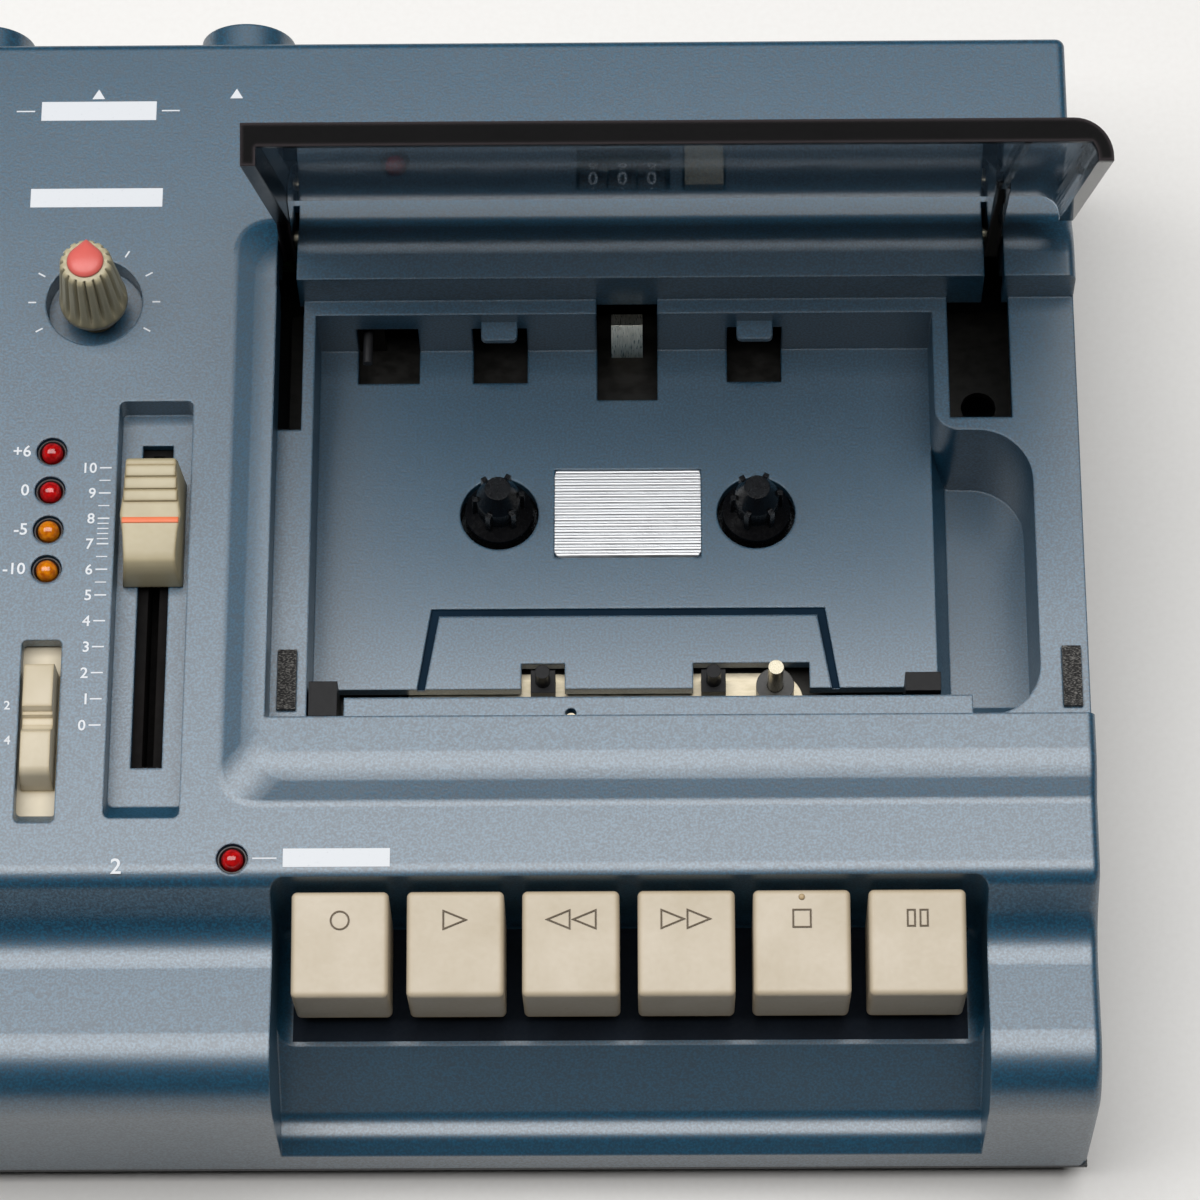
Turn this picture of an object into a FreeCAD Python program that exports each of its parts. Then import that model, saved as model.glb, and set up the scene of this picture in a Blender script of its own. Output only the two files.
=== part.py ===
# Four track cassette recorder: painted case, hinged lid, tape mechanism, keys, mixer controls and sockets.
# Everything is built from the case's lower left front corner (X right, Y back, Z up from the table), and
# each sub-part's Placement then moves it to the part's own frame, centred on the overall footprint.
import FreeCAD, Part
import os
import re

import Sketcher

Vector = FreeCAD.Vector
doc = FreeCAD.newDocument("CassetteRecorder")
sheet = doc.addObject("Spreadsheet::Sheet", "Sizes")

sizes = {
    # case shell
    "caseWidth": 296,
    "caseDepth": 184,
    "panelHeight": 53,
    "wall": 2.5,
    "splitHeight": 7,
    "footHeight": 3,
    "footRadius": 6,
    "footInset": 14,
    "bottomWall": 2.4,
    "bottomChamfer": 3,
    "rollHeight": 44,
    "rollRadius": 10,
    "shelfDepth": 26.6,
    "shelfDrop": 10.7,
    "shelfRadius": 8,
    "panelFront": 33,
    "panelRadius": 4,
    "rearRadius": 1.5,
    "sideRadius": 1.5,
    "rimThickness": 1.5,
    "rimHeight": 3.5,
    "fitGap": 0.3,
    "runGap": 0.05,
    # raised hood round the cassette well
    "hubInset": 74,
    "hubY": 104,
    "hubSpacing": 42.5,
    "hoodLeftReach": 64.6,
    "hoodFrontReach": 58.6,
    "hoodRearReach": 45.6,
    "hoodRise": 2.5,
    "hoodSlope": 5.5,
    "hoodCorner": 15,
    "hoodFoot": 2.5,
    "hoodSoftness": 11,
    # opening under the lid, ledge and pocket
    "openingLeftReach": 57.5,
    "openingFrontReach": 44.7,
    "openingRearReach": 33.2,
    "ledgeDrop": 7.5,
    "ledgeThickness": 2,
    "pocketLeftReach": 51.5,
    "pocketRightReach": 50.5,
    "pocketFrontReach": 31.5,
    "pocketRearReach": 30.4,
    "floorDrop": 20.5,
    "floorThickness": 2.2,
    "hubHole": 6.5,
    "barRearReach": 38.4,
    "barLeftReach": 45.5,
    "barRightReach": 55.2,
    "notchRise": 9,
    "rearNotchWidth": 9.1,
    "rearNotchFront": 24.2,
    "springNotch": 10.1,
    "springNotchFront": 20.9,
    "frontNotchRear": 27,
    "pinNotchWidth": 7.1,
    "capstanNotchLeft": 10.6,
    "capstanNotchWidth": 19,
    "locatingPinX": 13.9,
    "locatingPinFront": 30.6,
    "locatingPinRadius": 1.2,
    "reflectorWidth": 24.2,
    "reflectorDepth": 16.1,
    "reflectorSink": 0.5,
    "lineTopReach": 32.3,
    "lineFootReach": 34.5,
    "lineRear": 17.2,
    "lineWidth": 1.3,
    "lineDepth": 0.6,
    "armPitFront": 11,
    "armPitLeft": 53,
    "armPitWidth": 10.2,
    "leftPitFront": 9.4,
    # finger recess
    "fingerDrop": 10,
    "fingerRight": 66.2,
    "fingerRear": 8.7,
    "fingerFront": 42,
    "fingerDraft": 0.47,
    "fingerLean": 2.6,
    "fingerCorner": 9,
    "fingerEntry": 4,
    # lid, given in its closed pose from the hinge pin
    "lidPivotY": 44.5,
    "lidPivotDrop": 7.2,
    "lidOpenAngle": 68.5,
    "lidPlate": 2.3,
    "lidGap": 0.3,
    "lidRise": 7.2,
    "lidRearReach": 11.7,
    "lidRearTaper": 1.5,
    "lidArmWidth": 2.3,
    "lidArmDepth": 3.6,
    "rightArmX": 59.4,
    "rightArmReach": 34,
    "sideOverlap": 0.8,
    "lidCorner": 6,
    "armSlack": 0.5,
    "pinRadius": 1.5,
    "earThickness": 2.3,
    "earReach": 5,
    "feltWidth": 3,
    "feltLength": 10.4,
    "feltThickness": 1.2,
    "feltRecess": 0.5,
    "feltFrontReach": 40.6,
    "feltInset": 1.3,
    "armSlotRear": 48.4,
    "lidLip": 1.3,
    "skirtSetback": 1.2,
    # key bay and keys
    "bayLeftReach": 56.3,
    "bayRightReach": 56.5,
    "bayRear": 33.3,
    "bayFloor": 27,
    "bayCrease": 14,
    "bayLipDepth": 2.4,
    "bayLip": 13.3,
    "bayLedgeDepth": 5.5,
    "bayLedgeHeight": 15.6,
    "bayLedgeRise": 0.4,
    "bayBend": 3,
    "bayWall": 2,
    "bayCorner": 2.2,
    "leverSlot": 3.2,
    "leverSlotDrop": 3,
    "keyCount": 6,
    "keyPitch": 18.14,
    "keyWidth": 15.3,
    "keyFront": 15.5,
    "keyRear": 32.1,
    "keyRearDrop": 6,
    "keyFrontDrop": 9.3,
    "keyFoot": 32,
    "keyFootLean": -1.6,
    "keyCorner": 0.9,
    "keyShell": 1.6,
    "keyLeverWidth": 2,
    "keyLeverHeight": 5,
    "keyPivotY": 44,
    "keyPivotDrop": 19.5,
    "keyRodRadius": 1.5,
    # mixer columns
    "faderGap": 12.2,
    "channelPitch": 44.6,
    "faderWidth": 12,
    "faderFront": 43.1,
    "faderFrontSlope": 3.8,
    "recessCorner": 1,
    "faderRear": 116.3,
    "faderDrop": 5,
    "faderFloorThickness": 1.6,
    "faderSlotWidth": 5,
    "faderSlotFront": 53.6,
    "faderSlotRear": 110.6,
    "faderAt": 94.4,
    "faderCapWidth": 10,
    "faderCapFront": 9.3,
    "faderCapRear": 9.3,
    "faderCapHeight": 10.5,
    "faderStem": 3.2,
    "trimSpacing": 11,
    "trimY": 134.6,
    "switchSpacing": 16.9,
    "switchWidth": 6.4,
    "switchFront": 42.4,
    "switchFrontSlope": 2.8,
    "slotCorner": 0.8,
    "switchRear": 73.8,
    "switchPlateDrop": 3.4,
    "switchCapWidth": 5.2,
    "switchCapLength": 19,
    "switchCapRise": 2.6,
    "switchTravel": 4,
    "switchAt": 58.6,
    "switchPlateReach": 20,
    "trackX": 16.5,
    "trackPitch": 16.4,
    "panY": 134.6,
    "levelY": 104,
    "phonesY": 70,
    "knobRecess": 7.95,
    "knobDrop": 4,
    "knobCup": 1.5,
    "knobRadius": 5.6,
    "knobTopRadius": 4.25,
    "knobHeight": 14.5,
    "knobFlute": 0.55,
    "shaftRadius": 3,
    # lamps
    "lampSpacing": 16.8,
    "lampFront": 86.3,
    "lampPitch": 7,
    "lampHole": 2.5,
    "lampRadius": 1.75,
    "lampRise": 0.9,
    "recordLampGap": 5.9,
    "recordLampY": 36.2,
    "powerLampSpacing": 38.1,
    "powerLampInset": 21.3,
    # boards and mechanism levels
    "boardDrop": 19,
    "boardThickness": 1.6,
    "boardEdge": 6,
    "boardFront": 34,
    "boardRearInset": 7,
    "stripInset": 34,
    "stripReach": 22,
    "chassisDrop": 7.5,
    "chassisThickness": 1.5,
    "chassisReach": 60,
    "postRadius": 3,
    "spindleDisc": 13,
    "spindleTip": 10,
    "spindleBody": 4.9,
    "spindleCore": 3.6,
    "spindlePin": 1.2,
    "capstanX": 23.9,
    "capstanFront": 31.9,
    "capstanRadius": 1.25,
    "capstanTip": 9.5,
    "bushRadius": 3.1,
    "flywheelRadius": 23,
    "flywheelDrop": 8.5,
    "flywheelThickness": 5.5,
    "motorSpacing": 16.1,
    "motorRearReach": 23,
    "motorRadius": 14,
    "motorFoot": 8,
    "motorDrop": 7,
    "pulleyRadius": 3.5,
    "beltWidth": 1.2,
    "headTravel": 4,
    "rollerRadius": 6.3,
    "rollerX": 24.6,
    "rollerFront": 44.2,
    "rollerHeight": 7.7,
    "armPivotX": 40,
    "armPivotFront": 45.5,
    "armPlate": 1.5,
    "noseRadius": 2.5,
    "springSet": 1.6,
    "springThickness": 0.5,
    "springWidth": 5.2,
    "feelerX": -43.3,
    "feelerNotchInset": 1.8,
    "feelerNotchWidth": 10.3,
    "feelerRise": 4,
    "feelerRadius": 0.8,
    "potHeight": 7,
    "potNeck": 4.5,
    "powerNose": 4,
    "powerBore": 2.8,
    # counter
    "counterReach": 0.5,
    "counterInset": 22.6,
    "counterWidth": 15.6,
    "counterDepth": 7.8,
    "counterWheel": 4.6,
    "counterSides": 2,
    "resetSpacing": 13.5,
    "resetSize": 7,
    "resetDepth": 8.4,
    # sockets in the rear wall
    "socketPitch": 22.3,
    "socketRise": 5.9,
    "bossRadius": 8,
    "bossProud": 5.5,
    "socketBore": 3.2,
    "socketNose": 5.5,
    "phonesX": 44,
    "phonoX": 66,
    "phonoPitch": 16,
    "phonoRadius": 4.2,
    "phonoNeck": 3.8,
    "phonoLength": 4.5,
    "powerX": 22,
    "socketPanelLeft": 12,
    # screws
    "screwRadius": 1.5,
    "screwHead": 2.8,
    "screwTower": 4.5,
    "screwInset": 9,
    "screwFrontY": 43,
    "screwRearInset": 15,
    "middleScrewReach": 32,
    "middleScrewSpacing": 13.8,
    "screwBoss": 3.6,
    "screwLength": 12,
}

derived = {
    "totalDepth": "caseDepth + bossProud",
    "hubX": "caseWidth - hubInset",
    "hoodTop": "panelHeight + hoodRise",
    "faderX": "hubX - hoodLeftReach - faderGap",
    "trimX": "faderX - trimSpacing",
    "switchX": "faderX - switchSpacing",
    "lampX": "faderX - lampSpacing",
    "recordLampX": "bayLeft - recordLampGap",
    "powerLampX": "counterX - powerLampSpacing",
    "powerLampY": "caseDepth - powerLampInset",
    "counterX": "hubX - counterReach",
    "counterY": "caseDepth - counterInset",
    "resetX": "counterX + resetSpacing",
    "stripRight": "hubX + stripReach",
    "stripFront": "caseDepth - stripInset",
    "boardRear": "caseDepth - boardRearInset",
    "socketX": "hubX - hoodLeftReach",
    "motorX": "flywheelX + motorSpacing",
    "motorY": "hubY + motorRearReach",
    "screwRearY": "caseDepth - screwRearInset",
    "middleScrewX": "trimX + middleScrewSpacing",
    "middleScrewY": "hubY + middleScrewReach",
    "faderFloor": "panelHeight - faderDrop",
    "knobFloor": "panelHeight - knobDrop",
    "ledgeHeight": "hoodTop - ledgeDrop",
    "floorHeight": "hoodTop - floorDrop",
    "lidPivotHeight": "hoodTop - lidPivotDrop",
    "boardHeight": "panelHeight - boardDrop",
    "chassisHeight": "floorHeight - chassisDrop",
    "flywheelHeight": "chassisHeight - flywheelDrop",
    "motorTop": "chassisHeight - motorDrop",
    "socketHeight": "boardTop + socketRise",
    "feelerHeight": "floorHeight + feelerRise",
    "fingerFloor": "floorHeight - fingerDrop",
    "keyRearHeight": "hoodTop - keyRearDrop",
    "keyFrontHeight": "hoodTop - keyFrontDrop",
    "keyPivotHeight": "hoodTop - keyPivotDrop",
    "shelfHeight": "panelHeight - shelfDrop",
    "boardRight": "hubX - chassisReach - 0.2",
    "openingLeft": "hubX - openingLeftReach",
    "openingFront": "hubY - openingFrontReach",
    "openingRear": "hubY + openingRearReach",
    "pocketLeft": "hubX - pocketLeftReach",
    "pocketRight": "hubX + pocketRightReach",
    "pocketFront": "hubY - pocketFrontReach",
    "pocketRear": "hubY + pocketRearReach",
    "pivotY": "hubY + lidPivotY",
    "leftArmX": "openingLeft + lidGap + 0.1",
    "boardTop": "boardHeight + boardThickness",
    "chassisTop": "chassisHeight + chassisThickness",
    "caseInner": "panelHeight - wall",
    "insideFloor": "footHeight + bottomWall",
    "bayLeft": "hubX - bayLeftReach",
    "bayWidth": "bayLeftReach + bayRightReach",
    "flywheelX": "hubX + capstanX",
    "flywheelY": "hubY - capstanFront",
    "beltHeight": "flywheelHeight + flywheelThickness / 2 - beltWidth / 2",
    "bushTop": "floorHeight + 2",
    "rollerFoot": "bushTop + fitGap",
    "headPlateFoot": "chassisTop + fitGap",
    "headPinY": "hubY - 52",
    "towerTop": "insideFloor + 3.6",
    "potTop": "boardTop + potHeight - 3",
    "counterAxle": "caseInner - fitGap - counterWheel - 0.6",
    "socketPanelRight": "socketX + bossRadius + 2.2",
    "socketPanelTop": "socketHeight + bossRadius + 2 * fitGap",
    "beltSpan": "sqrt((motorX - flywheelX)^2 + (motorY - flywheelY)^2)",
    "beltTurn": "acos((flywheelRadius - pulleyRadius) / beltSpan)",
    "beltAngle": "atan2(motorY - flywheelY; motorX - flywheelX)",
    "armFoot": "chassisTop + 3",
}

names = re.compile(r"\b(" + "|".join(list(sizes) + list(derived)) + r")\b")
planes = {
    "XY": (FreeCAD.Rotation(), Vector(0, 0, 1), "z"),
    "YZ": (FreeCAD.Rotation(Vector(1, 1, 1), 120), Vector(1, 0, 0), "x"),
    "XZ": (FreeCAD.Rotation(Vector(1, 0, 0), 90), Vector(0, 1, 0), "y"),
}
turns = {
    "X": FreeCAD.Rotation(Vector(0, 1, 0), 90),
    "Y": FreeCAD.Rotation(Vector(1, 0, 0), -90),
    "Z": FreeCAD.Rotation(),
}
subparts = []


def fillSheet():
    """Each size is one row: its name, and its number or formula under the same alias."""
    for row, (name, number) in enumerate(sizes.items(), 1):
        sheet.set("A%d" % row, name)
        sheet.set("B%d" % row, str(number))
        sheet.setAlias("B%d" % row, name)
    for row, (name, formula) in enumerate(derived.items(), len(sizes) + 1):
        sheet.set("A%d" % row, name)
        sheet.set("B%d" % row, "=" + formula)
        sheet.setAlias("B%d" % row, name)
    doc.recompute()


def size(name):
    return float(sheet.get(name))


def bind(obj, prop, formula):
    obj.setExpression(prop, names.sub(r"Sizes.\1", str(formula)))


def moveTo(obj, x, y, z):
    for axis, formula in zip("xyz", (x, y, z)):
        bind(obj, "Placement.Base." + axis, formula)
    return obj


def box(name, x, y, z, length, width, height):
    obj = doc.addObject("Part::Box", name)
    for prop, formula in (("Length", length), ("Width", width), ("Height", height)):
        bind(obj, prop, formula)
    return moveTo(obj, x, y, z)


def rod(name, x, y, z, radius, height, axis="Z"):
    obj = doc.addObject("Part::Cylinder", name)
    obj.Placement.Rotation = turns[axis]
    bind(obj, "Radius", radius)
    bind(obj, "Height", height)
    return moveTo(obj, x, y, z)


def outline(name, plane, points):
    """A closed sketch whose corners are all placed by the sheet."""
    sketch = doc.addObject("Sketcher::SketchObject", name)
    sketch.Placement.Rotation = planes[plane][0]
    count = len(points)
    start = [FreeCAD.Rotation(Vector(0, 0, 1), 360 * n / count).multVec(Vector(50, 0, 0))
             for n in range(count)]
    for n in range(count):
        sketch.addGeometry(Part.LineSegment(start[n], start[(n + 1) % count]), False)
    for n in range(count):
        sketch.addConstraint(Sketcher.Constraint("Coincident", n, 2, (n + 1) % count, 1))
    for n, (u, v) in enumerate(points):
        for kind, formula, now in (("DistanceX", u, start[n].x), ("DistanceY", v, start[n].y)):
            index = sketch.addConstraint(Sketcher.Constraint(kind, -1, 1, n, 1, now))
            bind(sketch, "Constraints[%d]" % index, formula)
    return sketch


def prism(name, plane, points, start, length):
    sketch = outline(name + "Outline", plane, points)
    bind(sketch, "Placement.Base." + planes[plane][2], start)
    obj = doc.addObject("Part::Extrusion", name)
    obj.Base = sketch
    obj.DirMode = "Custom"
    obj.Dir = planes[plane][1]
    obj.Solid = True
    bind(obj, "LengthFwd", length)
    return obj


def turned(name, points, x="0", y="0", z="0"):
    """A turned piece: the points are (radius, height) along its axis."""
    obj = doc.addObject("Part::Revolution", name)
    obj.Source = outline(name + "Outline", "XZ", points)
    obj.Axis = Vector(0, 0, 1)
    obj.Angle = 360
    obj.Solid = True
    return moveTo(obj, x, y, z)


def joined(name, kind, members):
    obj = doc.addObject(kind, name)
    setattr(obj, "Links" if kind == "Part::Compound" else "Shapes", list(members))
    return obj


def fuse(name, *members):
    obj = joined(name, "Part::MultiFuse", members)
    obj.Refine = True
    return obj


def common(name, *members):
    return joined(name, "Part::MultiCommon", members)


def cut(name, base, *tools):
    obj = doc.addObject("Part::Cut", name)
    obj.Base = base
    obj.Tool = tools[0] if len(tools) == 1 else joined(name + "Tools", "Part::Compound", tools)
    obj.Refine = True
    return obj


def rounded(name, base, radius, chosen):
    """base with the chosen edges filleted; radius is a size's name or a number."""
    doc.recompute()
    reach = size(radius) if isinstance(radius, str) else radius
    obj = doc.addObject("Part::Fillet", name)
    obj.Base = base
    obj.Edges = [(n, reach, reach) for n, edge in enumerate(base.Shape.Edges, 1) if chosen(edge)]
    return obj


def along(edge, axis):
    """True for a straight edge that runs along X, Y or Z."""
    spans = {"X": edge.BoundBox.XLength, "Y": edge.BoundBox.YLength, "Z": edge.BoundBox.ZLength}
    return all((span > 1e-3) == (name == axis) for name, span in spans.items())


def near(number, target):
    return abs(number - target) < 1e-3


def upright(edge):
    """True for the corner edges of a recess, straight up or leaning."""
    return edge.BoundBox.ZLength > 1 and edge.BoundBox.XLength < 1e-3


def subpart(label, members, x="0", y="0", z="0"):
    """Names a finished piece and moves it from the corner frame to the part's own frame."""
    obj = joined("sub_" + label, "Part::Compound", members)
    obj.Label = label
    subparts.append(obj)
    return moveTo(obj, "%s - caseWidth / 2" % x, "%s - totalDepth / 2" % y, z)


screwSpots = [
    ("screwInset", "screwFrontY"),
    ("caseWidth - screwInset", "screwFrontY"),
    ("screwInset", "screwRearY"),
    ("caseWidth - screwInset", "screwRearY"),
    ("middleScrewX", "middleScrewY"),
]
boardPosts = [
    ("boardEdge + 14", "boardFront + 18"),
    ("boardEdge + 84", "boardFront + 18"),
    ("boardRight - 10", "boardFront + 26"),
    ("boardEdge + 14", "stripFront"),
    ("boardEdge + 94", "stripFront"),
    ("stripRight - 44", "stripFront + 22"),
]
chassisPosts = [
    ("hubX - chassisReach + 10", "hubY - 55"),
    ("hubX + chassisReach - 8", "hubY - 55"),
    ("hubX - chassisReach + 12", "hubY + 34"),
    ("hubX + 18", "hubY + 34"),
]
headPins = ("hubX - 10", "hubX + 11")
jackPlaces = ["socketX", "socketX - socketPitch", "socketX - 2 * socketPitch", "phonesX"]
channels = {"input_2": "0", "input_1": "channelPitch"}
knobSpots = {}
lampSpots = []
for channel, shift in channels.items():
    knobSpots[channel + "_trim_knob"] = ("trimX - " + shift, "trimY")
    for step in range(4):
        lampSpots.append(("lampX - " + shift, "lampFront + %d * lampPitch" % step, step > 1))
for track in range(4):
    column = "trackX + %d * trackPitch" % track
    knobSpots["track_%d_pan_knob" % (track + 1)] = (column, "panY")
    knobSpots["track_%d_level_knob" % (track + 1)] = (column, "levelY")
knobSpots["phones_level_knob"] = ("trackX + 1.5 * trackPitch", "phonesY")


def caseForm():
    """Outer form: the front wave along X, and the hood raised on it with soft flanks."""
    block = prism("caseBlock", "YZ", [
        ("0", "splitHeight"), ("0", "rollHeight"), ("shelfDepth", "shelfHeight"),
        ("panelFront", "panelHeight"),
        ("caseDepth", "panelHeight"), ("caseDepth", "splitHeight")], "0", "caseWidth")
    bends = (("rollRadius", 0, size("rollHeight")),
             ("shelfRadius", size("shelfDepth"), size("shelfHeight")),
             ("panelRadius", size("panelFront"), size("panelHeight")),
             ("rearRadius", size("caseDepth"), size("panelHeight")))
    for radius, y, z in bends:
        block = rounded(radius + "Bend", block, radius, lambda e, y=y, z=z: (
            along(e, "X") and near(e.CenterOfMass.y, y) and near(e.CenterOfMass.z, z)))
    hood = doc.addObject("Part::Wedge", "hoodBlock")
    hood.Placement.Rotation = FreeCAD.Rotation(Vector(1, 0, 0), 90)
    for prop, formula in (
            ("Xmin", "0"), ("Xmax", "hubInset + hoodLeftReach"), ("X2min", "hoodSlope"),
            ("X2max", "hubInset + hoodLeftReach"), ("Ymin", "0"), ("Ymax", "hoodRise"),
            ("Zmin", "0"), ("Zmax", "hoodFrontReach + hoodRearReach"), ("Z2min", "hoodSlope"),
            ("Z2max", "hoodFrontReach + hoodRearReach - hoodSlope")):
        bind(hood, prop, formula)
    moveTo(hood, "hubX - hoodLeftReach", "hubY + hoodRearReach", "panelHeight")
    hood = rounded("hoodCorners", hood, "hoodCorner",
                   lambda e: e.BoundBox.ZLength > 1 and e.BoundBox.XLength > 1)
    form = fuse("caseForm", block, hood)
    left = size("hubX") - size("hoodLeftReach") - 1
    front = size("hubY") - size("hoodFrontReach") - 1
    rear = size("hubY") + size("hoodRearReach") + 1

    def flank(level):
        return lambda e: (e.BoundBox.ZLength < 1e-3 and near(e.CenterOfMass.z, size(level))
                          and left < e.CenterOfMass.x < size("caseWidth") - 0.01
                          and front < e.CenterOfMass.y < rear)

    form = rounded("hoodFeet", form, "hoodFoot", flank("panelHeight"))
    form = rounded("hoodFlanks", form, "hoodSoftness", flank("hoodTop"))

    def side(e):
        spot = e.CenterOfMass
        onSide = near(spot.x, 0) or near(spot.x, size("caseWidth"))
        return onSide and e.BoundBox.XLength < 1e-3 and spot.z > size("splitHeight") + 0.1

    return rounded("caseSides", form, "sideRadius", side)


def caseHollow():
    """Room inside the skin, one wall thickness in from the outer form."""
    hollow = prism("caseHollow", "YZ", [
        ("wall", "splitHeight - 1"), ("wall", "rollHeight - wall"),
        ("shelfDepth + 0.55 * wall", "shelfHeight - wall"), ("panelFront + 0.5 * wall", "caseInner"),
        ("caseDepth - wall", "caseInner"), ("caseDepth - wall", "splitHeight - 1")],
        "wall", "caseWidth - 2 * wall")
    return rounded("hollowRoll", hollow, size("rollRadius") - size("wall"), lambda e: (
        along(e, "X") and near(e.CenterOfMass.y, size("wall")) and e.CenterOfMass.z > size("splitHeight")))


def fingerCutter():
    """Scoop beside the pocket: rounded in plan, with a leaning front and inner wall."""
    plan = prism("fingerPlan", "XY", [
        ("pocketRight", "hubY + fingerRear + 9"), ("pocketRight", "hubY + fingerRear"),
        ("hubX + fingerRight", "hubY + fingerRear"), ("hubX + fingerRight", "hubY - fingerFront"),
        ("pocketRight - 8", "hubY - fingerFront"), ("pocketRight - 8", "hubY + fingerRear + 9")],
        "fingerFloor - 1", "ledgeHeight - fingerFloor + 12")
    right = size("hubX") + size("fingerRight")
    plan = rounded("fingerEntryBend", plan, "fingerEntry", lambda e: (
        along(e, "Z") and near(e.CenterOfMass.x, size("pocketRight"))
        and near(e.CenterOfMass.y, size("hubY") + size("fingerRear"))))
    plan = rounded("fingerBends", plan, "fingerCorner",
                   lambda e: along(e, "Z") and near(e.CenterOfMass.x, right))
    lengthwise = prism("fingerLengthwise", "YZ", [
        ("hubY - fingerFront", "ledgeHeight + 9"), ("hubY - fingerFront", "ledgeHeight"),
        ("hubY - fingerFront + fingerDraft * (ledgeHeight - fingerFloor)", "fingerFloor"),
        ("hubY + fingerRear + 9", "fingerFloor"), ("hubY + fingerRear + 9", "ledgeHeight + 9")],
        "pocketRight - 9", "fingerRight")
    across = prism("fingerAcross", "XZ", [
        ("pocketRight - 9", "ledgeHeight + 9"), ("pocketRight - 9", "floorHeight"),
        ("pocketRight", "floorHeight"),
        ("pocketRight + fingerLean", "fingerFloor"), ("hubX + fingerRight + 1", "fingerFloor"),
        ("hubX + fingerRight + 1", "ledgeHeight + 9")], "hubY - fingerFront - 1", "2 * fingerFront")
    return common("fingerCutter", plan, lengthwise, across)


def deckSolids():
    """Ledge plate with the hood's inner walls, pocket tub, finger tub and hinge ears."""
    ledge = "ledgeHeight - ledgeThickness"
    solids = [
        box("deckBlock", "openingLeft - ledgeThickness", "openingFront - ledgeThickness", ledge,
            "caseWidth - wall + 0.5 - openingLeft + ledgeThickness",
            "openingRear - openingFront + 2 * ledgeThickness",
            "caseInner + 0.5 - ledgeHeight + ledgeThickness"),
        box("pocketBlock", "pocketLeft - ledgeThickness", "openingFront - ledgeThickness",
            "floorHeight - floorThickness", "pocketRight - pocketLeft + 2 * ledgeThickness",
            "pocketRear - openingFront + 2 * ledgeThickness",
            "ledgeHeight - floorHeight + floorThickness - 1"),
        box("fingerBlock", "pocketRight - fingerLean / 2", "openingFront", "fingerFloor - ledgeThickness",
            "hubX + fingerRight - pocketRight + ledgeThickness + fingerLean / 2",
            "hubY + fingerRear - openingFront + ledgeThickness", "ledgeHeight - fingerFloor + 1"),
    ]
    for name, x in (("leftArm", "leftArmX"), ("rightArm", "hubX + rightArmX")):
        for side, edge in (("Inner", "lidArmWidth + armSlack"), ("Outer", "-armSlack - earThickness")):
            solids.append(box(name + side + "Ear", "%s + %s" % (x, edge), "pivotY - earReach",
                              "lidPivotHeight - earReach", "earThickness", "2 * earReach",
                              "caseInner + 0.5 - lidPivotHeight + earReach"))
    return solids


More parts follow.
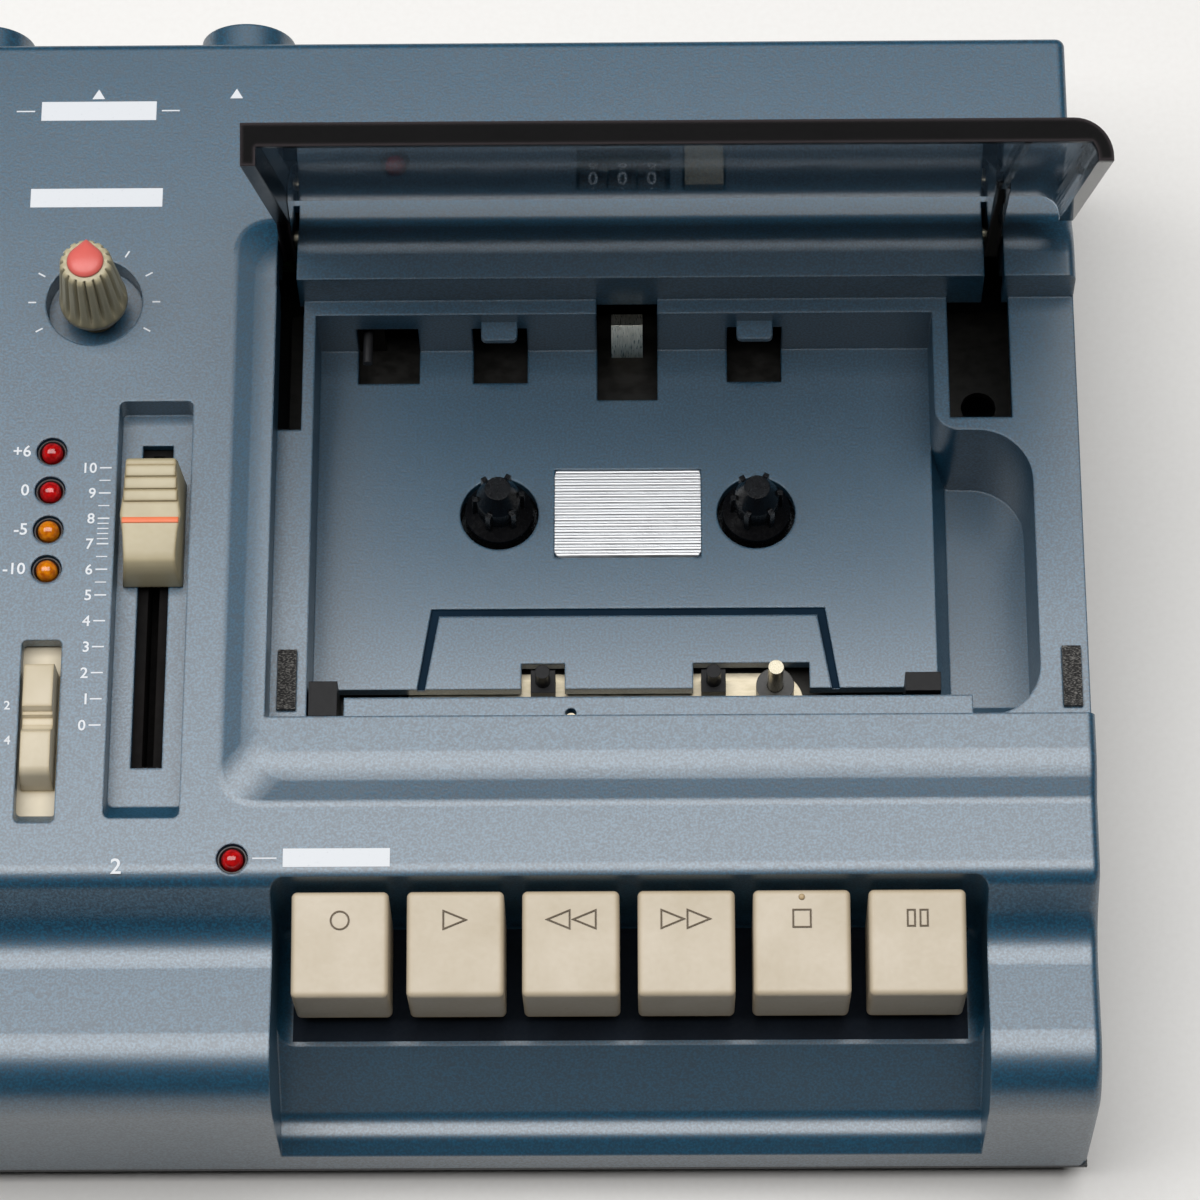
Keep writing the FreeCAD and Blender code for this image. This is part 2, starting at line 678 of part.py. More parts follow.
def deckCuts():
    """Openings of the cassette well, seen from above."""
    cuts = [
        box("lidOpening", "openingLeft", "openingFront", "ledgeHeight", "caseWidth",
            "openingRear - openingFront",
            "hoodTop - ledgeHeight + 1"),
        box("pocketCut", "pocketLeft", "pocketFront - 1", "floorHeight", "pocketRight - pocketLeft",
            "pocketRear - pocketFront + 1", "ledgeHeight - floorHeight + 1"),
        box("headGap", "pocketLeft", "openingFront", "floorHeight - floorThickness - 1",
            "pocketRight - pocketLeft", "pocketFront - openingFront", "ledgeHeight - floorHeight + 5"),
        box("headRoom", "pocketLeft", "openingFront - ledgeThickness - 1",
            "floorHeight - floorThickness - 1",
            "pocketRight - pocketLeft", "ledgeThickness + 2",
            "ledgeHeight - ledgeThickness - floorHeight + floorThickness + 1"),
        box("rightArmPit", "hubX + armPitLeft", "hubY + armPitFront", "ledgeHeight - ledgeThickness - 1",
            "armPitWidth", "openingRearReach - armPitFront", "ledgeThickness + 2"),
        box("leftArmPit", "openingLeft", "hubY + leftPitFront", "ledgeHeight - ledgeThickness - 1",
            "pocketLeft - ledgeThickness - openingLeft", "openingRearReach - leftPitFront",
            "ledgeThickness + 2"),
        box("reflectorSeat", "hubX - reflectorWidth / 2", "hubY - reflectorDepth / 2",
            "floorHeight - reflectorSink", "reflectorWidth", "reflectorDepth", "5"),
        box("leftFeltSeat", "openingLeft + feltInset", "hubY - feltFrontReach", "ledgeHeight - feltRecess",
            "feltWidth", "feltLength", "5"),
        box("rightFeltSeat", "caseWidth - feltInset - feltWidth", "hubY - feltFrontReach",
            "ledgeHeight - feltRecess", "feltWidth", "feltLength", "5"),
    ]
    for name, x in (("leftArm", "leftArmX"), ("rightArm", "hubX + rightArmX")):
        cuts.append(box(name + "Slot", x + " - armSlack", "openingRear - 1",
                        "ledgeHeight - ledgeThickness - 1",
                        "lidArmWidth + 2 * armSlack", "armSlotRear - openingRearReach + 1", "20"))
        cuts.append(rod(name + "PinHole", x + " - 10", "pivotY", "lidPivotHeight", "pinRadius", "20", "X"))
    for side in ("-", "+"):
        cuts.append(rod("hubHole" + str(side == "+"), "hubX %s hubSpacing / 2" % side, "hubY",
                        "floorHeight - 5", "hubHole", "10"))
    front = ("-pocketFrontReach - 1", "pocketFrontReach - frontNotchRear + 1")
    rear = ("rearNotchFront", "pocketRearReach + ledgeThickness + 1 - rearNotchFront")
    notches = {
        "pinNotch": ("-locatingPinX - pinNotchWidth / 2", "pinNotchWidth") + front,
        "capstanNotch": ("capstanNotchLeft", "capstanNotchWidth") + front,
        "feelerNotch": ("feelerX - feelerNotchInset", "feelerNotchWidth") + rear,
        "leftRearNotch": ("-hubSpacing / 2 - rearNotchWidth / 2", "rearNotchWidth") + rear,
        "rightRearNotch": ("hubSpacing / 2 - rearNotchWidth / 2", "rearNotchWidth") + rear,
    }
    for name, (x, width, y, depth) in notches.items():
        cuts.append(box(name, "hubX + " + x, "hubY + " + y, "floorHeight - floorThickness - 1", width,
                        depth, "floorThickness + notchRise"))
    cuts.append(box("springNotchCut", "hubX - springNotch / 2", "hubY + springNotchFront",
                    "floorHeight - floorThickness - 1", "springNotch",
                    "openingRearReach - springNotchFront",
                    "hoodTop - floorHeight + floorThickness"))
    corners = [(-1, "lineFootReach", "pocketFrontReach - 0.1"),
               (1, "lineFootReach", "pocketFrontReach - 0.1"),
               (1, "lineTopReach", "lineRear"), (-1, "lineTopReach", "lineRear")]
    rings = []
    for name, inset in (("lineOuter", "0"), ("lineInner", "lineWidth")):
        rings.append(prism(name, "XY", [
            ("hubX + %d * (%s - %s)" % (sign, x, inset),
             "hubY - %s - %s" % (y, inset if y == "lineRear" else "0"))
            for sign, x, y in corners], "floorHeight - lineDepth", "5"))
    cuts.append(cut("lineGroove", *rings))
    return cuts


def bayShell():
    """Walls and floor of the key bay, kept inside the case's outer form, and the room they enclose."""
    rear = "bayRear + bayWall"
    shell = prism("bayBlock", "YZ", [
        ("0.2", "splitHeight"), ("bayLedgeDepth + bayWall", "splitHeight"),
        ("bayCrease + 0.8 * bayWall", "bayFloor - bayWall"), (rear, "bayFloor - bayWall"),
        (rear, "panelHeight"), ("0.2", "panelHeight")], "bayLeft - bayWall", "bayWidth + 2 * bayWall")
    room = prism("bayRoom", "YZ", [
        ("-3", "bayLip"), ("0", "bayLip"), ("bayLipDepth", "bayLedgeHeight"),
        ("bayLedgeDepth", "bayLedgeHeight + bayLedgeRise"), ("bayCrease", "bayFloor"),
        ("bayRear", "bayFloor"), ("bayRear", "panelHeight + 5"), ("-3", "panelHeight + 5")], "bayLeft",
        "bayWidth")
    room = rounded("bayRearBends", room, "bayCorner", lambda e: (
        along(e, "Z") and near(e.CenterOfMass.y, size("bayRear"))))
    room = rounded("bayLedgeBends", room, "bayBend", lambda e: (
        along(e, "X") and size("bayLip") < e.CenterOfMass.z < size("bayFloor")))
    slots = [box("leverSlot%d" % n, "hubX + (%d - (keyCount - 1) / 2) * keyPitch - leverSlot / 2" % n,
                 "bayRear - 1", "keyPivotHeight - keyLeverHeight / 2 - leverSlotDrop", "leverSlot",
                 "bayWall + 2", "keyLeverHeight + leverSlotDrop + 1") for n in range(6)]
    return shell, [room] + slots


def controlTubs():
    """Recessed seats for faders and knobs: the solids to add and the room to take out of them."""
    solids, cuts = [], []
    for channel, shift in channels.items():
        x = "faderX - %s" % shift
        rim = "faderFloorThickness"
        solids.append(box(channel + "FaderTub", "%s - faderWidth / 2 - %s" % (x, rim),
                          "faderFront - " + rim,
                          "faderFloor - " + rim, "faderWidth + 2 * " + rim,
                          "faderRear - faderFront + 2 * " + rim,
                          "caseInner + 0.5 - faderFloor + " + rim))
        room = prism(channel + "FaderRoom", "YZ", [
            ("faderFront + faderFrontSlope", "faderFloor"), ("faderRear", "faderFloor"),
            ("faderRear", "panelHeight + 5"),
            ("faderFront - 5 * faderFrontSlope / faderDrop", "panelHeight + 5")],
            x + " - faderWidth / 2", "faderWidth")
        cuts.append(rounded(channel + "FaderCorners", room, "recessCorner", upright))
        cuts.append(box(channel + "FaderSlot", x + " - faderSlotWidth / 2", "faderSlotFront",
                        "faderFloor - 5", "faderSlotWidth", "faderSlotRear - faderSlotFront", "10"))
        slot = prism(channel + "SwitchSlot", "YZ", [
            ("switchFront + (wall + 2) * switchFrontSlope / switchPlateDrop", "caseInner - 2"),
            ("switchRear", "caseInner - 2"), ("switchRear", "panelHeight + 5"),
            ("switchFront - 5 * switchFrontSlope / switchPlateDrop", "panelHeight + 5")],
            "switchX - %s - switchWidth / 2" % shift, "switchWidth")
        cuts.append(rounded(channel + "SwitchCorners", slot, "slotCorner", upright))
    for name, (x, y) in knobSpots.items():
        solids.append(rod(name + "Cup", x, y, "knobFloor - knobCup", "knobRecess + knobCup",
                          "caseInner + 0.5 - knobFloor + knobCup"))
        cuts.append(rod(name + "Room", x, y, "knobFloor", "knobRecess", "10"))
        cuts.append(rod(name + "Hole", x, y, "knobFloor - 5", "shaftRadius + 0.6", "10"))
    for n, (x, y, red) in enumerate(lampSpots):
        cuts.append(rod("lampHole%d" % n, x, y, "caseInner - 5", "lampHole", "10"))
    cuts.append(rod("recordLampHole", "recordLampX", "recordLampY", "caseInner - 5", "lampHole", "10"))
    cuts.append(rod("powerLampHole", "powerLampX", "powerLampY", "caseInner - 5", "lampHole", "10"))
    cuts.append(box("counterWindow", "counterX - counterWidth / 2", "counterY - counterDepth / 2",
                    "caseInner - 2", "counterWidth", "counterDepth", "10"))
    cuts.append(box("resetHole", "resetX - resetSize / 2", "counterY - resetDepth / 2", "caseInner - 2",
                    "resetSize", "resetDepth", "10"))
    return solids, cuts


def panelBlock(name, gap):
    """Block that the socket panel fills in the rear wall, less a gap at its sides and top."""
    return box(name, "socketPanelLeft + " + gap, "caseDepth - wall", "splitHeight",
               "socketPanelRight - socketPanelLeft - 2 * " + gap, "wall + 1",
               "socketPanelTop - splitHeight - " + gap)


def socketPanel(form):
    """Panel that drops into the rear wall: the jack bosses and the holes for every socket."""
    plate = common("panelPlate", panelBlock("panelSolid", "fitGap"), form)
    bosses = [rod("jackBoss%d" % n, "socketX - %d * socketPitch" % (2 * n), "caseDepth - wall / 2",
                  "socketHeight", "bossRadius", "bossProud + wall / 2", "Y") for n in range(2)]
    holes = [rod("jackHole%d" % n, x, "caseDepth - 10", "socketHeight", "socketNose + 0.1", "30", "Y")
             for n, x in enumerate(jackPlaces)]
    for n in range(2):
        holes.append(rod("phonoHole%d" % n, "phonoX + %d * phonoPitch" % n, "caseDepth - 10",
                         "socketHeight", "phonoNeck + 0.1", "30", "Y"))
    holes.append(rod("powerHole", "powerX", "caseDepth - 10", "socketHeight", "powerNose + 0.1", "30", "Y"))
    subpart("socket_panel", [cut("panelBored", fuse("panelBosses", plate, *bosses), *holes)])


def topCase():
    form = caseForm()
    shell, bay = bayShell()
    tubs, tubCuts = controlTubs()
    walls = [common("bayWalls", shell, form)]
    for n, (x, y) in enumerate(screwSpots):
        tubs.append(rod("screwBoss%d" % n, x, y, "towerTop", "screwBoss", "caseInner + 0.5 - towerTop"))
        tubCuts.append(rod("screwPilot%d" % n, x, y, "towerTop - 1", "screwRadius", "screwLength"))
    body = cut("caseShell", form, caseHollow())
    body = fuse("caseFilled", body, *(walls + deckSolids() + tubs))
    rearOpening = panelBlock("panelOpening", "0")
    body = cut("caseOpened", body, fingerCutter(), rearOpening, *(bay + deckCuts() + tubCuts))
    bar = box("headBar", "hubX - barLeftReach", "openingFront - ledgeThickness",
              "ledgeHeight - ledgeThickness",
              "barLeftReach + barRightReach", "openingFrontReach - barRearReach + ledgeThickness",
              "ledgeThickness")
    bar = cut("headBarDrilled", bar, rod("barHole", "hubX - 9.1", "hubY - 41.3", "ledgeHeight - 5", "0.9",
                                         "10"))
    subpart("top_case", [fuse("topCase", body, bar)])
    socketPanel(form)


def bottomCase():
    """Shallow tray with chamfered lower edges, a rim inside the top case, screw towers and posts."""
    lengthwise = prism("trayLengthwise", "YZ", [
        ("bottomChamfer", "footHeight"), ("0", "splitHeight - 1"), ("0", "splitHeight"),
        ("caseDepth", "splitHeight"), ("caseDepth", "splitHeight - 1"),
        ("caseDepth - bottomChamfer", "footHeight")],
        "0", "caseWidth")
    across = prism("trayAcross", "XZ", [
        ("bottomChamfer", "footHeight"), ("0", "splitHeight - 1"), ("0", "splitHeight"),
        ("caseWidth", "splitHeight"), ("caseWidth", "splitHeight - 1"),
        ("caseWidth - bottomChamfer", "footHeight")],
        "0", "caseDepth")
    rimEdge = "wall + fitGap"
    rim = cut("trayRim",
              box("rimOuter", rimEdge, rimEdge, "splitHeight - 1", "caseWidth - 2 * (%s)" % rimEdge,
                  "caseDepth - 2 * (%s)" % rimEdge, "rimHeight + 1"),
              box("rimInner", rimEdge + " + rimThickness", rimEdge + " + rimThickness", "splitHeight - 2",
                  "caseWidth - 2 * (%s + rimThickness)" % rimEdge,
                  "caseDepth - 2 * (%s + rimThickness)" % rimEdge,
                  "rimHeight + 5"),
              box("rimGap", "bayLeft - bayWall - fitGap", "0", "splitHeight",
                  "bayWidth + 2 * (bayWall + fitGap)",
                  "2 * bayCrease", "rimHeight + 5"))
    tray = cut("tray", common("trayForm", lengthwise, across),
               box("trayRoom", rimEdge, rimEdge, "insideFloor", "caseWidth - 2 * (%s)" % rimEdge,
                   "caseDepth - 2 * (%s)" % rimEdge, "10"))
    posts = [rod("boardPost%d" % n, x, y, "insideFloor - 1", "postRadius", "boardHeight - insideFloor + 1")
             for n, (x, y) in enumerate(boardPosts)]
    posts += [rod("chassisPost%d" % n, x, y, "insideFloor - 1", "postRadius",
                  "chassisHeight - insideFloor + 1")
              for n, (x, y) in enumerate(chassisPosts)]
    holes = []
    for n, (x, y) in enumerate(screwSpots):
        posts.append(rod("screwTower%d" % n, x, y, "insideFloor - 1", "screwTower",
                         "towerTop - insideFloor + 1"))
        holes.append(rod("headSink%d" % n, x, y, "footHeight - 1", "screwHead + 0.2",
                         "towerTop - footHeight - 1"))
        holes.append(rod("shankHole%d" % n, x, y, "footHeight", "screwRadius + 0.2", "20"))
    subpart("bottom_case", [cut("bottomCase", fuse("trayPosts", tray, rim, *posts), *holes)])
    feet = [rod("foot%d" % n, x, y, "0", "footRadius", "footHeight") for n, (x, y) in enumerate([
        ("footInset", "footInset"), ("caseWidth - footInset", "footInset"),
        ("footInset", "caseDepth - footInset"), ("caseWidth - footInset", "caseDepth - footInset")])]
    subpart("rubber_feet", feet)
    screws = []
    for n, (x, y) in enumerate(screwSpots):
        head = rod("screwHead%d" % n, x, y, "towerTop - 4", "screwHead", "2")
        shank = rod("screwShank%d" % n, x, y, "towerTop - 2.5", "screwRadius", "screwLength + 1")
        screws.append(fuse("screw%d" % n, head, shank))
    subpart("case_screws", screws)


def lid():
    """Drawn closed with the hinge pin as its origin, then swung open about the pin."""
    left = "openingLeft + lidGap"
    width = "caseWidth - sideOverlap - openingLeft - lidGap"
    front = "lidPivotY + openingFrontReach - lidGap"
    under = "lidRise - lidPlate"
    skirtFoot = "ledgeHeight - feltRecess + feltThickness + lidGap - lidPivotHeight"
    plate = prism("lidPlateBlock", "YZ", [
        ("-lidRearReach", "lidRise"), ("-lidRearReach - lidRearTaper", under), ("-(%s)" % front, under),
        ("-(%s)" % front, "lidRise")], left, width)
    pieces = [
        plate,
        box("lidLip", left, "-(%s)" % front, under + " - lidLip", width, "lidPlate - 0.4", "lidLip + 0.1"),
        box("leftSkirt", left, "-(%s)" % front, skirtFoot, "lidArmWidth",
            front + " - lidRearReach - lidRearTaper",
            "lidRise - 0.1 - (%s)" % skirtFoot),
        box("rightSkirt", "caseWidth - sideOverlap - lidArmWidth", "-(%s)" % front, skirtFoot,
            "lidArmWidth",
            front + " - lidRearReach - lidRearTaper - skirtSetback", "lidRise - 0.1 - (%s)" % skirtFoot),
        box("rightRib", "hubX + rightArmX + 0.6", "-(%s) + 1" % front, under + " - 1.4", "1.1",
            front + " - rightArmReach", "1.5"),
    ]
    holes = []
    for name, x, reach in (("leftArm", "leftArmX", "24"),
                           ("rightArm", "hubX + rightArmX", "rightArmReach")):
        pieces.append(rod(name + "Eye", x, "0", "0", "lidArmDepth", "lidArmWidth", "X"))
        pieces.append(prism(name + "Plate", "YZ", [
            ("0", "lidArmDepth"), ("-lidRearReach - 0.7", "lidRise - 1"),
            ("-lidRearReach - 3", "lidRise - 1"),
            ("-" + reach, "lidRise - 1"), ("-" + reach, under + " - 1.4"),
            ("-lidRearReach - 3", "-0.5 * lidArmDepth + 1.2"), ("0", "-lidArmDepth")], x, "lidArmWidth"))
        holes.append(rod(name + "Bore", x + " - 5", "0", "0", "pinRadius + runGap", "15", "X"))
    body = fuse("lidJoined", *pieces)
    edge = size("caseWidth") - size("sideOverlap")
    body = rounded("lidCornerOuter", body, "lidCorner", lambda e: (
        along(e, "Y") and near(e.CenterOfMass.x, edge) and near(e.CenterOfMass.z, size("lidRise"))))
    inner = size("lidCorner") - size("lidArmWidth")
    body = rounded("lidCornerInner", body, inner, lambda e: (
        along(e, "Y") and near(e.CenterOfMass.x, edge - size("lidArmWidth"))
        and near(e.CenterOfMass.z, size("lidRise") - size("lidPlate"))))
    lidPart = subpart("lid", [cut("lidBored", body, *holes)], "0", "pivotY", "lidPivotHeight")
    lidPart.Placement.Rotation = FreeCAD.Rotation(Vector(1, 0, 0), -size("lidOpenAngle"))
    bind(lidPart, "Placement.Rotation.Angle", "-lidOpenAngle")
    pins = [rod(name + "Pin", x + " - armSlack - earThickness", "pivotY", "lidPivotHeight", "pinRadius",
                "lidArmWidth + 2 * (armSlack + earThickness)", "X")
            for name, x in (("left", "leftArmX"), ("right", "hubX + rightArmX"))]
    subpart("lid_hinge_pins", pins)
    pads = [box(name, x, "hubY - feltFrontReach", "ledgeHeight - feltRecess", "feltWidth", "feltLength",
                "feltThickness")
            for name, x in (("leftFelt", "openingLeft + feltInset"),
                            ("rightFelt", "caseWidth - feltInset - feltWidth"))]
    subpart("felt_pads", pads)


def chassis():
    """Steel plate under the well, with guide pins, arm post, rod brackets and the feeler's guide."""
    plate = prism("chassisPlate", "XY", [
        ("hubX - chassisReach", "hubY - 66"), ("hubX + chassisReach", "hubY - 66"),
        ("hubX + chassisReach", "openingFront - 1"),
        ("pocketRight - fingerLean / 2 - 1", "openingFront - 1"),
        ("pocketRight - fingerLean / 2 - 1", "hubY + fingerRear + 5"),
        ("hubX + 66", "hubY + fingerRear + 5"),
        ("hubX + 66", "hubY + 40"), ("hubX - chassisReach + 3", "hubY + 40"),
        ("hubX - chassisReach + 3", "hubY - 30"), ("hubX - chassisReach", "hubY - 30")], "chassisHeight",
        "chassisThickness")
    added = [
        rod("armPost", "hubX + armPivotX", "hubY - armPivotFront", "chassisHeight + 0.5", "pinRadius",
            "armFoot + armPlate + 1 - chassisHeight - 0.5"),
        rod("armShoulder", "hubX + armPivotX", "hubY - armPivotFront", "chassisHeight + 0.5", "postRadius",
            "armFoot - fitGap - chassisHeight - 0.5"),
        box("feelerGuide", "hubX + feelerX - 2.5", "pocketRear + ledgeThickness + 1", "chassisHeight + 0.5",
            "5", "4", "feelerHeight + 2.5 - chassisHeight - 0.5"),
    ]
    for n, x in enumerate(headPins):
        added.append(rod("headPin%d" % n, x, "headPinY", "chassisHeight + 0.5", "pinRadius",
                         "headPlateFoot + armPlate + 0.5 - chassisHeight"))
    for n, x in enumerate(("hubX - chassisReach + 0.5", "hubX + chassisReach - 2.5")):
        added.append(box("rodBracket%d" % n, x, "keyPivotY - 4", "chassisHeight + 0.5", "2", "8",
                         "keyPivotHeight + 4 - chassisHeight - 0.5"))
    holes = [
        rod("leftBearing", "hubX - hubSpacing / 2", "hubY", "chassisHeight - 5", "spindlePin + runGap",
            "10"),
        rod("rightBearing", "hubX + hubSpacing / 2", "hubY", "chassisHeight - 5", "spindlePin + runGap",
            "10"),
        rod("bushSeat", "flywheelX", "flywheelY", "chassisHeight - 5", "bushRadius + runGap", "10"),
        rod("motorVent", "motorX", "motorY", "chassisHeight - 5", "pulleyRadius", "10"),
        rod("pitHole", "hubX + 59", "hubY + 22", "chassisHeight - 5", "2.9", "10"),
        rod("feelerBore", "hubX + feelerX", "hubY + 30", "feelerHeight", "feelerRadius + runGap", "20",
            "Y"),
        rod("rodBores", "hubX - chassisReach - 1", "keyPivotY", "keyPivotHeight", "keyRodRadius",
            "2 * chassisReach + 2", "X"),
    ]
    subpart("chassis_plate", [cut("chassis", fuse("chassisSolid", plate, *added), *holes)])
    subpart("key_pivot_rod", [rod("keyRod", "hubX - chassisReach + 0.5", "keyPivotY", "keyPivotHeight",
                                  "keyRodRadius", "2 * chassisReach - 1", "X")])
    subpart("reflector_plate", [box("reflector", "hubX - reflectorWidth / 2", "hubY - reflectorDepth / 2",
                                    "floorHeight - reflectorSink", "reflectorWidth", "reflectorDepth",
                                    "reflectorSink + 0.1")])


def spindles():
    """Turned drive hubs with six splines, each on a disc and a steel pin in the chassis."""
    for name, side in (("left_spindle", "-"), ("right_spindle", "+")):
        low = "chassisTop + 0.6"
        body = turned(name + "Body", [
            ("0", "chassisHeight - 4"), ("spindlePin", "chassisHeight - 4"),
            ("spindlePin", "chassisTop + 0.1"),
            ("2 * spindlePin", "chassisTop + 0.1"), ("2 * spindlePin", low), ("spindleDisc", low),
            ("spindleDisc", low + " + 1.8"), ("spindleBody + 0.7", low + " + 1.8"),
            ("spindleBody + 0.7", "floorHeight + 1"), ("spindleCore", "floorHeight + 2.5"),
            ("spindleCore", "floorHeight + 6.5"), ("2.1", "floorHeight + spindleTip"),
            ("0", "floorHeight + spindleTip")])
        splines = []
        for n in range(6):
            fin = box("%sFin%d" % (name, n), "0", "0", "floorHeight + 1.5", "spindleBody - 0.6", "0.9",
                      "5.4")
            fin.Placement.Rotation = FreeCAD.Rotation(Vector(0, 0, 1), 60 * n)
            splines.append(fin)
        subpart(name, [fuse(name + "Fused", body, *splines)], "hubX %s hubSpacing / 2" % side, "hubY", "0")


def capstanDrive():
    """Capstan on its flywheel, the bush it runs in, the motor, its pulley and the belt between them."""
    foot = "flywheelHeight"
    subpart("capstan_shaft", [rod("capstan", "flywheelX", "flywheelY", foot, "capstanRadius",
                                  "floorHeight + capstanTip - flywheelHeight")])
    wheel = rod("flywheelDisc", "flywheelX", "flywheelY", foot, "flywheelRadius", "flywheelThickness")
    bore = rod("flywheelBore", "flywheelX", "flywheelY", foot + " - 1", "capstanRadius",
               "flywheelThickness + 2")
    subpart("flywheel", [cut("flywheelBored", wheel, bore)])
    bushFoot = "flywheelHeight + flywheelThickness + 0.5"
    bush = rod("bushOuter", "flywheelX", "flywheelY", bushFoot, "bushRadius", "bushTop - (%s)" % bushFoot)
    bushBore = rod("bushBore", "flywheelX", "flywheelY", bushFoot + " - 1", "capstanRadius + runGap", "30")
    subpart("capstan_bush", [cut("bush", bush, bushBore)])
    can = rod("motorCan", "motorX", "motorY", "motorFoot", "motorRadius", "motorTop - motorFoot")
    posts = [rod("motorPost%d" % n, "motorX + %d * (motorRadius - 3)" % x,
                 "motorY + %d * (motorRadius - 3)" % y,
                 "motorTop - 1", "pinRadius", "chassisHeight - motorTop + 1")
             for n, (x, y) in enumerate(((1, 0), (-1, 0), (0, 1)))]
    well = rod("motorWell", "motorX", "motorY", "motorTop - 5", "capstanRadius + runGap", "10")
    subpart("motor", [cut("motorBored", fuse("motorJoined", can, *posts), well)])
    pulley = rod("pulleyWheel", "motorX", "motorY", "motorTop + 0.4", "pulleyRadius",
                 "flywheelHeight + flywheelThickness - motorTop")
    shaft = rod("motorShaft", "motorX", "motorY", "motorTop - 4", "capstanRadius", "6")
    subpart("motor_pulley", [fuse("pulley", pulley, shaft)])
    loops = []
    for name, grow in (("beltOuter", "fitGap + beltWidth"), ("beltInner", "fitGap")):
        big = "(flywheelRadius + %s)" % grow
        small = "(pulleyRadius + %s)" % grow
        web = prism(name + "Web", "XY", [
            (big + " * cos(beltTurn)", big + " * sin(beltTurn)"),
            (big + " * cos(beltTurn)", "-%s * sin(beltTurn)" % big),
            ("beltSpan + %s * cos(beltTurn)" % small, "-%s * sin(beltTurn)" % small),
            ("beltSpan + %s * cos(beltTurn)" % small, small + " * sin(beltTurn)")], "0", "beltWidth")
        loops.append(fuse(name, web, rod(name + "Big", "0", "0", "0", big, "beltWidth"),
                          rod(name + "Small", "beltSpan", "0", "0", small, "beltWidth")))
    belt = subpart("drive_belt", [cut("belt", *loops)], "flywheelX", "flywheelY", "beltHeight")
    belt.Placement.Rotation = FreeCAD.Rotation(Vector(0, 0, 1), 50)
    bind(belt, "Placement.Rotation.Angle", "beltAngle")


def heads():
    """Sliding head plate with its heads, and the pinch roller on its arm."""
    plate = box("headPlateBlock", "hubX - 24", "hubY - 58", "headPlateFoot", "42", "18", "armPlate")
    slots = [box("headSlot%d" % n, x + " - pinRadius - runGap", "headPinY - pinRadius - headTravel - 0.2",
                 "headPlateFoot - 1", "2 * (pinRadius + runGap)", "2 * pinRadius + headTravel + 0.4", "5")
             for n, x in enumerate(headPins)]
    subpart("head_plate", [cut("headPlate", plate, *slots)])
    headBase = "headPlateFoot + armPlate"
    for name, x, width, y, depth in (("record_play_head", "-6.5", "13", "-50", "9.5"),
                                     ("erase_head", "-21.5", "7.5", "-49", "8")):
        block = box(name + "Block", "hubX + " + x, "hubY + " + y, headBase, width, depth,
                    "ledgeHeight - ledgeThickness - 0.8 - (%s)" % headBase)
        face = size("hubY") + float(y) + float(depth)
        subpart(name, [rounded(name + "Nose", block, "noseRadius", lambda e, face=face: (
            along(e, "Z") and near(e.CenterOfMass.y, face)))])
    arm = fuse("pinchArmJoined",
               box("pinchBar", "hubX + rollerX", "hubY - rollerFront - 3.5", "armFoot",
                   "armPivotX - rollerX", "7",
                   "armPlate"),
               rod("pinchEye", "hubX + armPivotX", "hubY - armPivotFront", "armFoot", "4.5", "armPlate"),
               rod("pinchEnd", "hubX + rollerX", "hubY - rollerFront", "armFoot", "3.5", "armPlate"),
               rod("rollerPin", "hubX + rollerX", "hubY - rollerFront", "armFoot + 0.5", "1",
                   "rollerFoot + rollerHeight + 0.3 - armFoot - 0.5"))
    subpart("pinch_arm", [cut("pinchArm", arm, rod("pinchBore", "hubX + armPivotX", "hubY - armPivotFront",
                                                  "armFoot - 1", "pinRadius + runGap", "5"))])
    roller = rod("rollerBody", "hubX + rollerX", "hubY - rollerFront", "rollerFoot", "rollerRadius",
                 "rollerHeight")
    subpart("pinch_roller", [cut("roller", roller, rod("rollerBore", "hubX + rollerX", "hubY - rollerFront",
                                                      "rollerFoot - 1", "1 + runGap", "rollerHeight + 2"))])


def wellFittings():
    """Small fixed pieces that hold the cassette, and the feeler that reads its protect tab."""
    guides = []
    for name, side in (("left", "-"), ("right", "+")):
        x = "hubX %s locatingPinX" % side
        foot = box(name + "PinFoot", x + " - 2", "hubY - locatingPinFront - 2", "chassisTop", "4", "4",
                   "floorHeight - chassisTop + 1")
        tip = rod(name + "PinTip", x, "hubY - locatingPinFront", "floorHeight", "locatingPinRadius", "5")
        guides.append(fuse(name + "LocatingPin", foot, tip))
    guides.append(box("leftGuide", "pocketLeft + fitGap", "hubY - 41.5", "chassisTop", "4.6", "6",
                      "ledgeHeight - chassisTop"))
    guides.append(fuse("rightGuide",
                       box("rightGuideFoot", "hubX + 44.5", "hubY - 37.6", "chassisTop", "3.5", "3.2",
                           "ledgeHeight - chassisTop"),
                       box("rightGuideHook", "hubX + 44.5", "hubY - 37.6", "ledgeHeight - 4", "5.7", "3.2",
                           "4")))
    subpart("cassette_guides", guides)
    riser = "pocketRear + springSet"
    leaf = "springThickness"
    spring = prism("springLeaf", "YZ", [
        (riser + " + 7", "chassisTop"), (riser, "chassisTop"), (riser, "ledgeHeight - 4.6"),
        (riser + " - 2.1", "ledgeHeight - 3.2"), (riser + " - 4.2", "floorHeight + 3"),
        (riser + " - 4.2 - " + leaf, "floorHeight + 3.1"),
        (riser + " - 2.5", "ledgeHeight - 3.2 + 1.6 * " + leaf),
        (riser + " + " + leaf, "ledgeHeight - 4.2"), (riser + " + " + leaf, "chassisTop + " + leaf),
        (riser + " + 7", "chassisTop + " + leaf)], "hubX - springWidth / 2", "springWidth")
    subpart("cassette_spring", [spring])
    feeler = fuse("feelerJoined",
                  rod("feelerRod", "hubX + feelerX", "hubY + 26", "feelerHeight", "feelerRadius", "13.5",
                      "Y"),
                  rod("feelerCollar", "hubX + feelerX", "pocketRear + ledgeThickness + 5.3", "feelerHeight",
                      "2 * feelerRadius", "1.2", "Y"))
    subpart("protect_feeler", [feeler])


